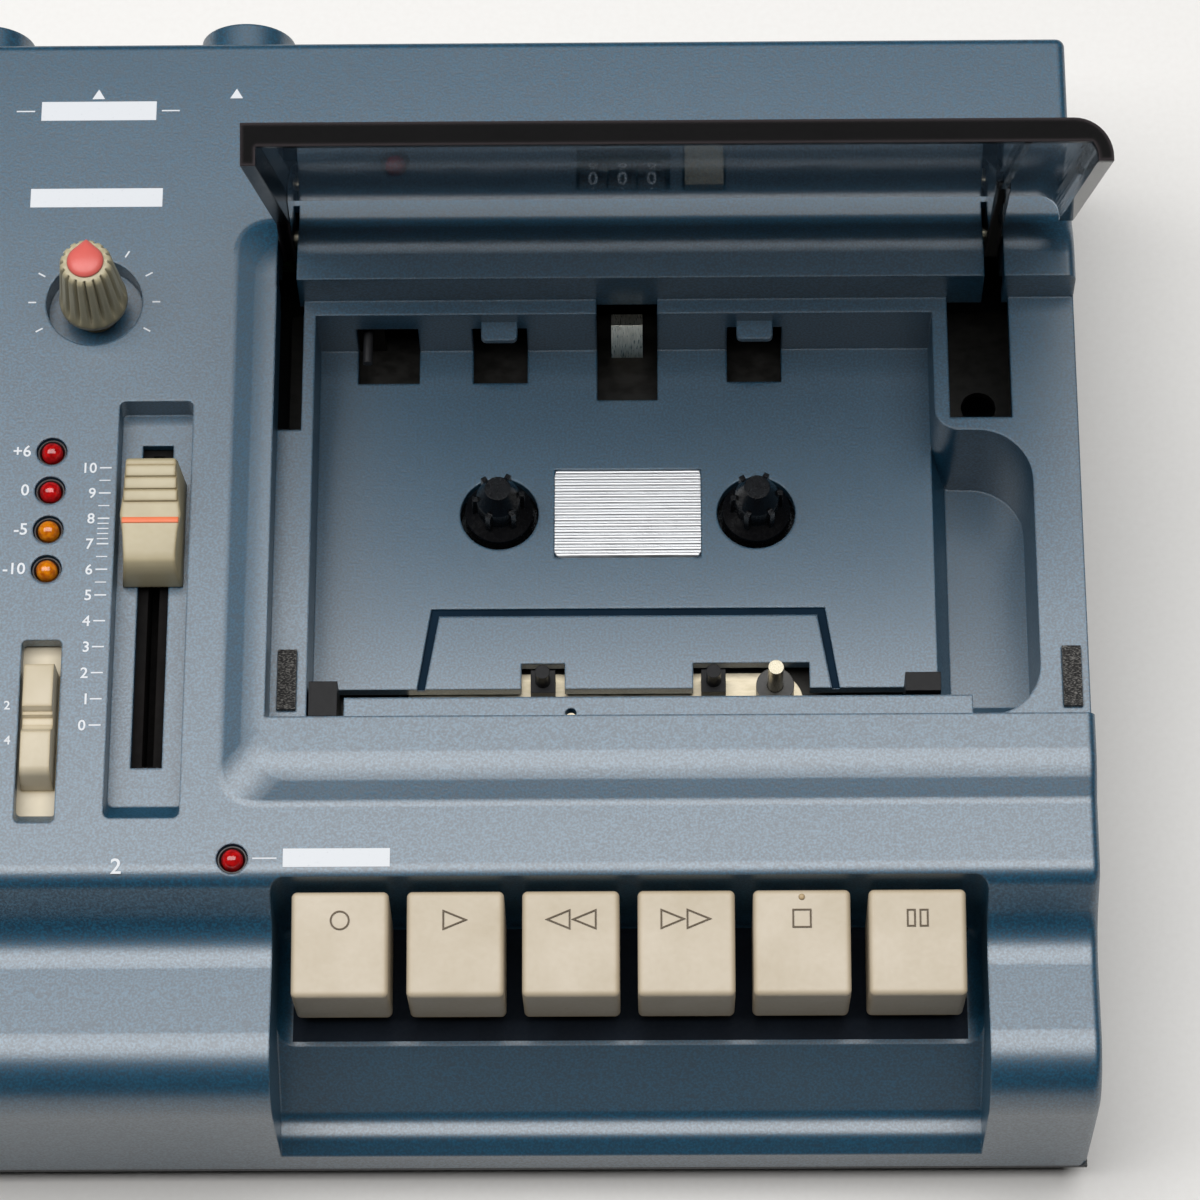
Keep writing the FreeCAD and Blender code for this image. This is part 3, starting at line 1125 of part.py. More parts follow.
def keys():
    """One key, a hollow cap with its lever, repeated across the bay."""
    cap = prism("keyCap", "YZ", [
        ("keyFront - keyFootLean", "keyFoot"), ("keyFront", "keyFrontHeight"), ("keyRear", "keyRearHeight"),
        ("keyRear", "keyFoot + 2")], "-keyWidth / 2", "keyWidth")
    cap = rounded("keyCapSoft", cap, "keyCorner", lambda e: e.CenterOfMass.z > size("keyFoot") + 3)
    hollow = prism("keyHollow", "YZ", [
        ("keyFront + keyShell - keyFootLean", "keyFoot - 1"),
        ("keyFront + keyShell", "keyFrontHeight - keyShell"),
        ("keyRear - keyShell", "keyRearHeight - 1.2 * keyShell"), ("keyRear - keyShell", "keyFoot - 1")],
        "keyShell - keyWidth / 2", "keyWidth - 2 * keyShell")
    lever = box("keyLever", "-keyLeverWidth / 2", "keyRear - keyShell - 6",
                "keyPivotHeight - keyLeverHeight / 2",
                "keyLeverWidth", "keyPivotY - keyRear + keyShell + 6", "keyLeverHeight")
    web = box("keyWeb", "-keyLeverWidth / 2", "keyRear - keyShell - 6", "keyPivotHeight", "keyLeverWidth",
              "6.5", "keyFrontHeight - keyPivotHeight - 0.5 * keyShell")
    eye = rod("keyEye", "-keyLeverWidth", "keyPivotY", "keyPivotHeight", "2.4 * keyRodRadius",
              "2 * keyLeverWidth", "X")
    bore = rod("keyBore", "-10", "keyPivotY", "keyPivotHeight", "keyRodRadius + runGap", "20", "X")
    key = cut("key", fuse("keyJoined", cut("keyShellCut", cap, hollow), lever, web, eye), bore)
    for n, name in enumerate(("record", "play", "rewind", "forward", "stop", "pause")):
        subpart(name + "_key", [key], "hubX + (%d - (keyCount - 1) / 2) * keyPitch" % n)


def faders():
    """Long throw faders: cap and stem, and the body that the stem runs in."""
    cap = prism("faderCapBlock", "YZ", [
        ("-faderCapFront", "0"), ("1.6 - faderCapFront", "0.45 * faderCapHeight"),
        ("3.6 - faderCapFront", "0.72 * faderCapHeight"), ("0", "0.78 * faderCapHeight"),
        ("0.4 * faderCapRear", "0.82 * faderCapHeight"), ("0.9 * faderCapRear", "faderCapHeight"),
        ("faderCapRear", "0.92 * faderCapHeight"), ("faderCapRear", "0")], "-faderCapWidth / 2",
        "faderCapWidth")
    stem = box("faderStem", "-0.6", "-faderStem / 2", "boardTop + 4 - faderFloor - fitGap", "1.2",
               "faderStem",
               "faderFloor + fitGap + 1 - boardTop - 4")
    cap = fuse("faderCap", cap, stem)
    bodies = []
    for channel, shift in channels.items():
        x = "faderX - %s" % shift
        subpart(channel + "_fader", [cap], x, "faderAt", "faderFloor + fitGap")
        block = box(channel + "FaderBlock", x + " - 4.5", "faderSlotFront - 4", "boardTop", "9",
                    "faderSlotRear - faderSlotFront + 8",
                    "faderFloor - faderFloorThickness - fitGap - boardTop")
        groove = box(channel + "FaderGroove", x + " - 0.9", "faderSlotFront + 1", "boardTop + 3.6", "1.8",
                     "faderSlotRear - faderSlotFront - 2", "20")
        bodies.append(cut(channel + "FaderBody", block, groove))
    subpart("fader_bodies", bodies)


def switches():
    """Three position slide switches: a two-humped slider whose plate closes the slot."""
    top = "panelHeight - switchPlateDrop"
    slider = fuse("switchSlider",
                  box("switchPlate", "-switchWidth / 2 - 0.9", "-switchPlateReach", top + " - 1.2",
                      "switchWidth + 1.8", "2 * switchPlateReach", "1.2"),
                  prism("switchHumps", "YZ", [
                      ("-switchCapLength / 2", top + " - 0.1"),
                      ("0.8 - switchCapLength / 2", "panelHeight + 1.9"),
                      ("-0.6", "panelHeight + switchCapRise"), ("0", "panelHeight + 0.6"),
                      ("0.9", "panelHeight + switchCapRise"),
                      ("switchCapLength / 2 - 0.4", "panelHeight + 2.3"),
                      ("switchCapLength / 2", top + " - 0.1")], "-switchCapWidth / 2", "switchCapWidth"),
                  box("switchStem", "-1", "-1.5", "boardTop + 5", "2", "3", top + " - boardTop - 6"))
    bodies = []
    for channel, shift in channels.items():
        x = "switchX - %s" % shift
        subpart(channel + "_switch", [slider], x, "switchAt", "0")
        block = box(channel + "SwitchBlock", x + " - 4", "switchAt - 10", "boardTop", "8", "20",
                    "%s - 1.5 - boardTop" % top)
        groove = box(channel + "SwitchGroove", x + " - 1.3", "switchAt - 1.8 - switchTravel",
                     "boardTop + 4.6",
                     "2.6", "3.6 + 2 * switchTravel", "20")
        bodies.append(cut(channel + "SwitchBody", block, groove))
    subpart("switch_bodies", bodies)


def knobs():
    """Ribbed tapering knobs with a domed cap and their shafts, and the potentiometers that carry them."""
    body = turned("knobTurned", [
        ("0", "potTop - panelHeight"), ("shaftRadius", "potTop - panelHeight"), ("shaftRadius", "0"),
        ("knobRadius", "0"), ("knobRadius", "1.6"), ("knobTopRadius", "knobHeight - 1"),
        ("knobTopRadius - 0.6", "knobHeight - 0.4"), ("0.7 * knobTopRadius", "knobHeight - 0.4"),
        ("0.45 * knobTopRadius", "knobHeight + 0.4"), ("0", "knobHeight + 0.7")])
    flutes = []
    for n in range(18):
        groove = rod("knobFlute%d" % n, "0", "0", "1.8", "knobFlute", "knobHeight")
        spin = FreeCAD.Rotation(Vector(0, 0, 1), 20 * n)
        lean = FreeCAD.Rotation(Vector(0, 1, 0), -6)
        groove.Placement = FreeCAD.Placement(Vector(), spin) * FreeCAD.Placement(
            Vector(size("knobRadius") + 0.25 * size("knobFlute"), 0, 1.8), lean)
        for axis in "xyz":
            groove.setExpression("Placement.Base." + axis, None)
        flutes.append(groove)
    knob = cut("knob", body, *flutes)
    pots = []
    for name, (x, y) in knobSpots.items():
        subpart(name, [knob], x, y, "panelHeight + fitGap")
        pot = fuse(name + "Pot",
                   box(name + "PotBlock", x + " - 5", y + " - 5.5", "boardTop", "10", "11", "potHeight"),
                   rod(name + "PotNeck", x, y, "boardTop + potHeight - 0.5", "potNeck",
                       "knobFloor - knobCup - fitGap - boardTop - potHeight + 0.5"))
        pots.append(cut(name + "PotBored", pot, rod(name + "PotBore", x, y, "potTop - 0.3",
                                                    "shaftRadius + runGap", "20")))
    subpart("potentiometers", pots)


def lamps():
    """Domed lamps, each standing on the main board."""
    groups = {"red_lamps": [("recordLampX", "recordLampY"), ("powerLampX", "powerLampY")],
              "amber_lamps": []}
    for x, y, red in lampSpots:
        groups["red_lamps" if red else "amber_lamps"].append((x, y))
    for label, spots in groups.items():
        members = []
        for n, (x, y) in enumerate(spots):
            tube = rod("%sTube%d" % (label, n), x, y, "boardTop", "lampRadius",
                       "panelHeight + lampRise - lampRadius - boardTop")
            dome = doc.addObject("Part::Sphere", "%sDome%d" % (label, n))
            bind(dome, "Radius", "lampRadius")
            moveTo(dome, x, y, "panelHeight + lampRise - lampRadius")
            members.append(fuse("%sLamp%d" % (label, n), tube, dome))
        subpart(label, members)


def board():
    """Main circuit board, with a strip along the rear for the counter and the power lamp."""
    plate = prism("boardPlate", "XY", [
        ("boardEdge", "screwFrontY + 9"), ("screwInset + 6", "screwFrontY"),
        ("screwInset + 6", "boardFront"),
        ("boardRight", "boardFront"), ("boardRight", "stripFront"), ("stripRight", "stripFront"),
        ("stripRight", "boardRear"), ("screwInset + 6", "boardRear"), ("screwInset + 6", "screwRearY - 3"),
        ("boardEdge", "screwRearY - 11")], "boardHeight", "boardThickness")
    holes = [rod("boardHole%d" % n, x, y, "boardHeight - 5", "screwBoss + 0.6", "10")
             for n, (x, y) in enumerate(screwSpots)]
    subpart("main_board", [cut("boardCut", plate, *holes)])


def counter():
    """Tape counter: a frame on the board, three figure wheels on one spindle and the reset button."""
    x = "counterX - counterWidth / 2 - counterSides"
    width = "counterWidth + 2 * counterSides"
    frame = box("counterBlock", x, "counterY - counterWheel - 1.5", "boardTop", width,
                "2 * counterWheel + 3",
                "caseInner - fitGap - boardTop")
    room = box("counterRoom", "counterX - counterWidth / 2", "counterY - counterWheel - 2", "boardTop + 3",
               "counterWidth", "2 * counterWheel + 4", "30")
    hole = rod("counterBore", x + " - 1", "counterY", "counterAxle", "1 + runGap", width + " + 2", "X")
    stub = fuse("counterFrame", cut("counterCut", frame, room, hole),
                box("resetGuide", "resetX - 3.5", "counterY - 4", "boardTop", "7", "8", "6"))
    guideRoom = box("resetGuideRoom", "resetX - 1.6", "counterY - 1.6", "boardTop + 1", "3.2", "3.2", "10")
    subpart("counter_frame", [cut("counterStub", stub, guideRoom)])
    wheels = [rod("counterWheel%d" % n,
                  "counterX - counterWidth / 2 + 0.4 + %d * (counterWidth - 0.8) / 3" % n,
                  "counterY", "counterAxle", "counterWheel", "(counterWidth - 0.8) / 3 - 0.3", "X")
              for n in range(3)]
    axle = rod("counterShaft", x + " + 0.2", "counterY", "counterAxle", "1", width + " - 0.4", "X")
    subpart("counter_wheels", [fuse("counterWheelSet", axle, *wheels)])
    button = fuse("resetJoined",
                  box("resetCap", "resetX - resetSize / 2 + fitGap", "counterY - resetDepth / 2 + fitGap",
                      "caseInner - 1.5", "resetSize - 2 * fitGap", "resetDepth - 2 * fitGap", "wall + 3"),
                  box("resetStem", "resetX - 1.5", "counterY - 1.5", "boardTop + 4", "3", "3",
                      "caseInner - boardTop - 5"))
    subpart("counter_reset_button", [button])


def sockets():
    """Quarter inch jacks, phono sockets and the power inlet, seated on the board behind the rear wall."""
    inner = "caseDepth - wall"
    jacks = []
    for n, x in enumerate(jackPlaces):
        reach = "bossProud" if n in (0, 2) else "0"
        block = box("jackBlock%d" % n, x + " - 7.5", inner + " - 25", "boardTop", "15", "25 - 0.1",
                    "2 * (socketHeight - boardTop)")
        nose = rod("jackNose%d" % n, x, inner + " - 1", "socketHeight", "socketNose", "wall + 1 + " + reach,
                   "Y")
        bore = rod("jackBore%d" % n, x, inner + " - 20", "socketHeight", "socketBore", "40", "Y")
        jacks.append(cut("jack%d" % n, fuse("jackJoined%d" % n, block, nose), bore))
    subpart("quarter_inch_jacks", jacks)
    phonos = []
    for n in range(2):
        x = "phonoX + %d * phonoPitch" % n
        block = box("phonoBlock%d" % n, x + " - 5.5", inner + " - 10", "boardTop", "11", "10 - 0.1",
                    "2 * (socketHeight - boardTop)")
        neck = rod("phonoNeck%d" % n, x, inner + " - 1", "socketHeight", "phonoNeck", "wall + 2", "Y")
        barrel = rod("phonoBarrel%d" % n, x, "caseDepth + fitGap", "socketHeight", "phonoRadius",
                     "phonoLength", "Y")
        bore = rod("phonoBore%d" % n, x, inner + " - 8", "socketHeight", "1.65", "40", "Y")
        phonos.append(cut("phono%d" % n, fuse("phonoJoined%d" % n, block, neck, barrel), bore))
    subpart("phono_sockets", phonos)
    block = box("powerBlock", "powerX - 5", inner + " - 12", "boardTop", "10", "12 - 0.1",
                "2 * (socketHeight - boardTop)")
    nose = rod("powerNoseRod", "powerX", inner + " - 1", "socketHeight", "powerNose", "wall + 1", "Y")
    bore = rod("powerBore", "powerX", inner + " - 8", "socketHeight", "powerBore", "40", "Y")
    pin = rod("powerPin", "powerX", inner + " - 9", "socketHeight", "1", "wall + 8", "Y")
    subpart("power_inlet", [fuse("powerInlet", cut("powerCut", fuse("powerJoined", block, nose), bore),
                                 pin)])


def finish():
    doc.recompute()
    for obj in doc.Objects:
        if "Invalid" in obj.State or "Error" in obj.State:
            raise RuntimeError("%s did not build" % obj.Name)
    for obj in subparts:
        if obj.Shape.isNull() or not obj.Shape.isValid() or not obj.Shape.Solids:
            raise RuntimeError("%s has no sound shape" % obj.Label)
    os.makedirs("parts", exist_ok=True)
    for obj in subparts:
        obj.Shape.exportStep("parts/%s.step" % obj.Label)
        span = obj.Shape.BoundBox
        print("%-22s solids %2d  volume %9.1f  x %.1f..%.1f  y %.1f..%.1f  z %.1f..%.1f" % (
            obj.Label, len(obj.Shape.Solids), obj.Shape.Volume,
            span.XMin, span.XMax, span.YMin, span.YMax, span.ZMin, span.ZMax))


fillSheet()
for build in (topCase, bottomCase, lid, chassis, spindles, capstanDrive, heads, wellFittings, keys, faders,
              switches, knobs, lamps, board, counter, sockets):
    build()
finish()
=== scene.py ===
import math

import bmesh
import bpy
from mathutils import Matrix, Vector


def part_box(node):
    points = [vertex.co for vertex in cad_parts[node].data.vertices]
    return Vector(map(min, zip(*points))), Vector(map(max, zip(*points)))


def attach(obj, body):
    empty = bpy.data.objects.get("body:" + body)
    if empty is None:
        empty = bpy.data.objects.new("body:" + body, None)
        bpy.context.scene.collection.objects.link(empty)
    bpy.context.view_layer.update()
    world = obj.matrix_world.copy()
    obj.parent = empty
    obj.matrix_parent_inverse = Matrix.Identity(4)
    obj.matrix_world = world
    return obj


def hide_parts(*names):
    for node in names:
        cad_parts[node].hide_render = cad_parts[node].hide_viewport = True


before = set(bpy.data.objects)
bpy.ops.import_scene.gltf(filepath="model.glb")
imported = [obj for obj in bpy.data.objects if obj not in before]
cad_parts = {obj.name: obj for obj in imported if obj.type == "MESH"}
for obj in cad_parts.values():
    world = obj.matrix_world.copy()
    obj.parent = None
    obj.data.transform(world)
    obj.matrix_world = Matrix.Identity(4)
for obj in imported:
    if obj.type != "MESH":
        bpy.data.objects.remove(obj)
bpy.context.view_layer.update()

mm = 0.001
panelTop = 53  # heights over the table, in millimetres
wellFloor = 35
channelShifts = (0, -44.6)  # the second input channel, and the first beside it


def middleOf(node):
    low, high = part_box(node)
    return (Vector(low) + Vector(high)) / 2


# everything is placed from the middle between the two reels
reels = (middleOf("left_spindle") + middleOf("right_spindle")) / 2


def at(x, y, z):  # millimetres, x and y from the reels and z from the table
    return Vector((reels.x + x * mm, reels.y + y * mm, z * mm))


print("camera and light")
view = {
    "x": 4.2, "y": -352.9, "z": 789.6,  # millimetres
    "tilt": 24.08, "pan": 0.61, "roll": -0.31,  # degrees
    "lens": 150.9, "sensor": 36, "nearest": 0.01,
}
camera = bpy.data.objects.new("camera", bpy.data.cameras.new("camera"))
camera.data.lens = view["lens"]
camera.data.sensor_width = view["sensor"]
camera.data.clip_start = view["nearest"]
camera.matrix_world = (
    Matrix.Translation(at(view["x"], view["y"], view["z"]))
    @ Matrix.Rotation(math.radians(view["tilt"]), 4, "X")
    @ Matrix.Rotation(math.radians(view["pan"]), 4, "Y")
    @ Matrix.Rotation(math.radians(view["roll"]), 4, "Z"))
bpy.context.collection.objects.link(camera)
bpy.context.scene.camera = camera
bpy.context.scene.view_settings.view_transform = "Standard"

studio = {
    "boxWidth": 2.1, "boxDepth": 0.92,  # softbox over the object, metres
    "boxX": -0.2, "boxY": 0.05, "boxHeight": 1.15,
    "boxPower": 24.8,
    "room": 0.02,  # light from the rest of the room
    "floorSize": 12.0,
}
lamp = bpy.data.lights.new("softbox", "AREA")
lamp.shape = "RECTANGLE"
lamp.size = studio["boxWidth"]
lamp.size_y = studio["boxDepth"]
lamp.energy = studio["boxPower"]
softbox = bpy.data.objects.new("softbox", lamp)
softbox.location = (studio["boxX"], studio["boxY"], studio["boxHeight"])
bpy.context.collection.objects.link(softbox)
room = bpy.data.worlds.new("room")
room.use_nodes = True
room.node_tree.nodes["Background"].inputs["Color"].default_value = (1, 1, 1, 1)
room.node_tree.nodes["Background"].inputs["Strength"].default_value = studio["room"]
bpy.context.scene.world = room


def tone(red, green, blue):  # a screen colour, 0 to 255
    return [((part / 255 + 0.055) / 1.055) ** 2.4 for part in (red, green, blue)] + [1]


def newFinish(name, colour, roughness, metallic=0.0):
    finish = bpy.data.materials.new(name)
    finish.use_nodes = True
    shader = finish.node_tree.nodes["Principled BSDF"]
    shader.inputs["Base Color"].default_value = colour
    shader.inputs["Roughness"].default_value = roughness
    shader.inputs["Metallic"].default_value = metallic
    return finish, finish.node_tree, shader


def grain(tree, scale, detail=2.0, stretch=(1, 1, 1)):
    coords = tree.nodes.new("ShaderNodeTexCoord")
    mapping = tree.nodes.new("ShaderNodeMapping")
    noise = tree.nodes.new("ShaderNodeTexNoise")
    mapping.inputs["Scale"].default_value = stretch
    noise.inputs["Scale"].default_value = scale
    noise.inputs["Detail"].default_value = detail
    tree.links.new(coords.outputs["Object"], mapping.inputs["Vector"])
    tree.links.new(mapping.outputs["Vector"], noise.inputs["Vector"])
    return noise.outputs["Fac"]


def shades(tree, factor, stops):
    ramp = tree.nodes.new("ShaderNodeValToRGB")
    marks = ramp.color_ramp.elements
    while len(marks) < len(stops):
        marks.new(0.5)
    for mark, (place, colour) in zip(marks, stops):
        mark.position = place
        mark.color = colour
    tree.links.new(factor, ramp.inputs["Fac"])
    return ramp.outputs["Color"]


def grey(level):
    return (level, level, level, 1)


def mixed(tree, factor, under, over, kind="MIX"):
    mix = tree.nodes.new("ShaderNodeMixRGB")
    mix.blend_type = kind
    for place, source in (("Fac", factor), ("Color1", under), ("Color2", over)):
        if isinstance(source, bpy.types.NodeSocket):
            tree.links.new(source, mix.inputs[place])
        else:
            mix.inputs[place].default_value = source
    return mix.outputs["Color"]


def softEdges(tree, reach):
    soft = tree.nodes.new("ShaderNodeBevel")
    soft.samples = 4
    soft.inputs["Radius"].default_value = reach * mm
    return soft.outputs["Normal"]


def edgeMask(tree, reach, start, full):  # white where the surface turns sharply
    geometry = tree.nodes.new("ShaderNodeNewGeometry")
    match = tree.nodes.new("ShaderNodeVectorMath")
    match.operation = "DOT_PRODUCT"
    tree.links.new(softEdges(tree, reach), match.inputs[0])
    tree.links.new(geometry.outputs["Normal"], match.inputs[1])
    return shades(tree, match.outputs["Value"], [(full, grey(1)), (start, grey(0))])


def relief(tree, shader, height, depth, strength=1.0, edge=0.0):
    bump = tree.nodes.new("ShaderNodeBump")
    bump.inputs["Distance"].default_value = depth * mm
    bump.inputs["Strength"].default_value = strength
    tree.links.new(height, bump.inputs["Height"])
    if edge:
        tree.links.new(softEdges(tree, edge), bump.inputs["Normal"])
    tree.links.new(bump.outputs["Normal"], shader.inputs["Normal"])


def casePaint(name):
    paint = {
        "deep": tone(8, 50, 71), "flake": tone(26, 82, 109), "dust": tone(70, 96, 110),
        "flakeSize": 2600, "flakeBump": 0.012, "dustSize": 45, "dustCover": 0.12,
        "roughness": 0.36, "spread": 0.05, "gloss": 2.08, "edge": 0.5,
    }
    finish, tree, shader = newFinish(name, paint["deep"], paint["roughness"])
    shader.inputs["IOR"].default_value = paint["gloss"]
    flakes = grain(tree, paint["flakeSize"], 1)
    body = shades(tree, flakes, [(0.38, paint["deep"]), (0.68, paint["flake"])])
    patches = shades(tree, grain(tree, paint["dustSize"], 4),
                     [(0.5, grey(0)), (0.8, grey(paint["dustCover"]))])
    tree.links.new(mixed(tree, patches, body, paint["dust"]), shader.inputs["Base Color"])
    dull = shades(tree, flakes, [(0.3, grey(paint["roughness"] + paint["spread"])),
                                 (0.7, grey(paint["roughness"] - paint["spread"]))])
    tree.links.new(dull, shader.inputs["Roughness"])
    relief(tree, shader, flakes, paint["flakeBump"], 1.0, paint["edge"])
    return finish


def moulded(name, colour, shade, roughness, size=900, depth=0.01, edge=0.25, edgeWearAndHighlight=None, shine=0.5):
    # plastic with a fine spark texture; the edge colour given is painted along its sharp edges: yellowed
    # wear on the keys, a painted highlight along the lid rim's edges, darker edges on the faders and
    # switches and lighter edges on the knobs
    cloudAndEdgeMask = {"cloudSize": 90, "edgeReach": 1.0, "edgeStart": 0.995, "edgeFull": 0.86}
    finish, tree, shader = newFinish(name, colour, roughness)
    shader.inputs["Specular IOR Level"].default_value = shine
    cloud = shades(tree, grain(tree, cloudAndEdgeMask["cloudSize"], 5), [(0.35, grey(0)), (0.75, grey(1))])
    body = mixed(tree, cloud, colour, shade)
    if edgeWearAndHighlight:
        turned = edgeMask(tree, cloudAndEdgeMask["edgeReach"], cloudAndEdgeMask["edgeStart"], cloudAndEdgeMask["edgeFull"])
        body = mixed(tree, turned, body, edgeWearAndHighlight)
    tree.links.new(body, shader.inputs["Base Color"])
    spark = grain(tree, size, 2)
    dull = shades(tree, spark, [(0.3, grey(roughness - 0.05)), (0.7, grey(roughness + 0.07))])
    tree.links.new(dull, shader.inputs["Roughness"])
    relief(tree, shader, spark, depth, 1.0, edge)
    return finish


def metal(name, colour, shade, roughness, stretch=(1, 1, 1), size=700, depth=0.006, edge=0.12):
    # plated or turned metal; stretch draws the grain out along an axis
    finish, tree, shader = newFinish(name, colour, roughness, 1.0)
    marks = grain(tree, size, 4, stretch)
    tree.links.new(shades(tree, marks, [(0.35, shade), (0.65, colour)]), shader.inputs["Base Color"])
    dull = shades(tree, marks, [(0.3, grey(roughness - 0.06)), (0.7, grey(roughness + 0.1))])
    tree.links.new(dull, shader.inputs["Roughness"])
    relief(tree, shader, marks, depth, 1.0, edge)
    return finish


def smokedAcrylic(name):
    smoke = {"tint": (0.93, 0.95, 0.97, 1), "depth": (0.12, 0.19, 0.25, 1), "density": 580,
             "shine": 0.6, "bending": 1.49}
    finish, tree, shader = newFinish(name, smoke["tint"], 0.04)
    shader.inputs["Transmission Weight"].default_value = 1
    shader.inputs["IOR"].default_value = smoke["bending"]
    shader.inputs["Specular IOR Level"].default_value = smoke["shine"]
    scratch = grain(tree, 120, 6, (1, 14, 14))
    haze = shades(tree, scratch, [(0.55, grey(0.01)), (0.85, grey(0.05))])
    tree.links.new(haze, shader.inputs["Roughness"])
    absorb = tree.nodes.new("ShaderNodeVolumeAbsorption")
    absorb.inputs["Color"].default_value = smoke["depth"]
    absorb.inputs["Density"].default_value = smoke["density"]
    tree.links.new(absorb.outputs["Volume"], tree.nodes["Material Output"].inputs["Volume"])
    return finish


def lampLens(name, colour, deep):  # coloured resin under a clear skin
    finish, tree, shader = newFinish(name, colour, 0.12)
    cloud = grain(tree, 1100, 2)
    tree.links.new(shades(tree, cloud, [(0.3, deep), (0.62, colour)]), shader.inputs["Base Color"])
    shader.inputs["Subsurface Weight"].default_value = 0.35
    shader.inputs["Subsurface Radius"].default_value = (0.002, 0.001, 0.0005)
    shader.inputs["Subsurface Scale"].default_value = 1
    shader.inputs["Coat Weight"].default_value = 0.6
    shader.inputs["Coat Roughness"].default_value = 0.03
    relief(tree, shader, cloud, 0.01, 0.5)
    return finish


def feltCloth(name):
    fuzz = {"light": tone(120, 118, 114), "dark": tone(26, 25, 25), "size": 2600}
    finish, tree, shader = newFinish(name, fuzz["dark"], 0.95)
    fibres = grain(tree, fuzz["size"], 6, (1, 2.5, 1))
    specks = shades(tree, fibres, [(0.48, fuzz["dark"]), (0.7, fuzz["light"])])
    tree.links.new(specks, shader.inputs["Base Color"])
    shader.inputs["Sheen Weight"].default_value = 0.1
    relief(tree, shader, fibres, 0.25)
    return finish


def boardLaminate(name):
    sheet = {"mask": tone(28, 74, 46), "patch": tone(34, 84, 52), "trace": tone(44, 104, 62), "step": 260}
    finish, tree, shader = newFinish(name, sheet["mask"], 0.35)
    coords = tree.nodes.new("ShaderNodeTexCoord")
    bricks = tree.nodes.new("ShaderNodeTexBrick")
    bricks.inputs["Color1"].default_value = sheet["mask"]
    bricks.inputs["Color2"].default_value = sheet["patch"]
    bricks.inputs["Mortar"].default_value = sheet["trace"]
    bricks.inputs["Scale"].default_value = sheet["step"]
    bricks.inputs["Mortar Size"].default_value = 0.06
    tree.links.new(coords.outputs["Object"], bricks.inputs["Vector"])
    tree.links.new(bricks.outputs["Color"], shader.inputs["Base Color"])
    relief(tree, shader, bricks.outputs["Fac"], 0.03)
    return finish


def printInk(name, colour, shade):
    finish, tree, shader = newFinish(name, colour, 0.5)
    cover = grain(tree, 1800, 3)
    tree.links.new(shades(tree, cover, [(0.22, shade), (0.36, colour)]), shader.inputs["Base Color"])
    relief(tree, shader, cover, 0.004)
    return finish


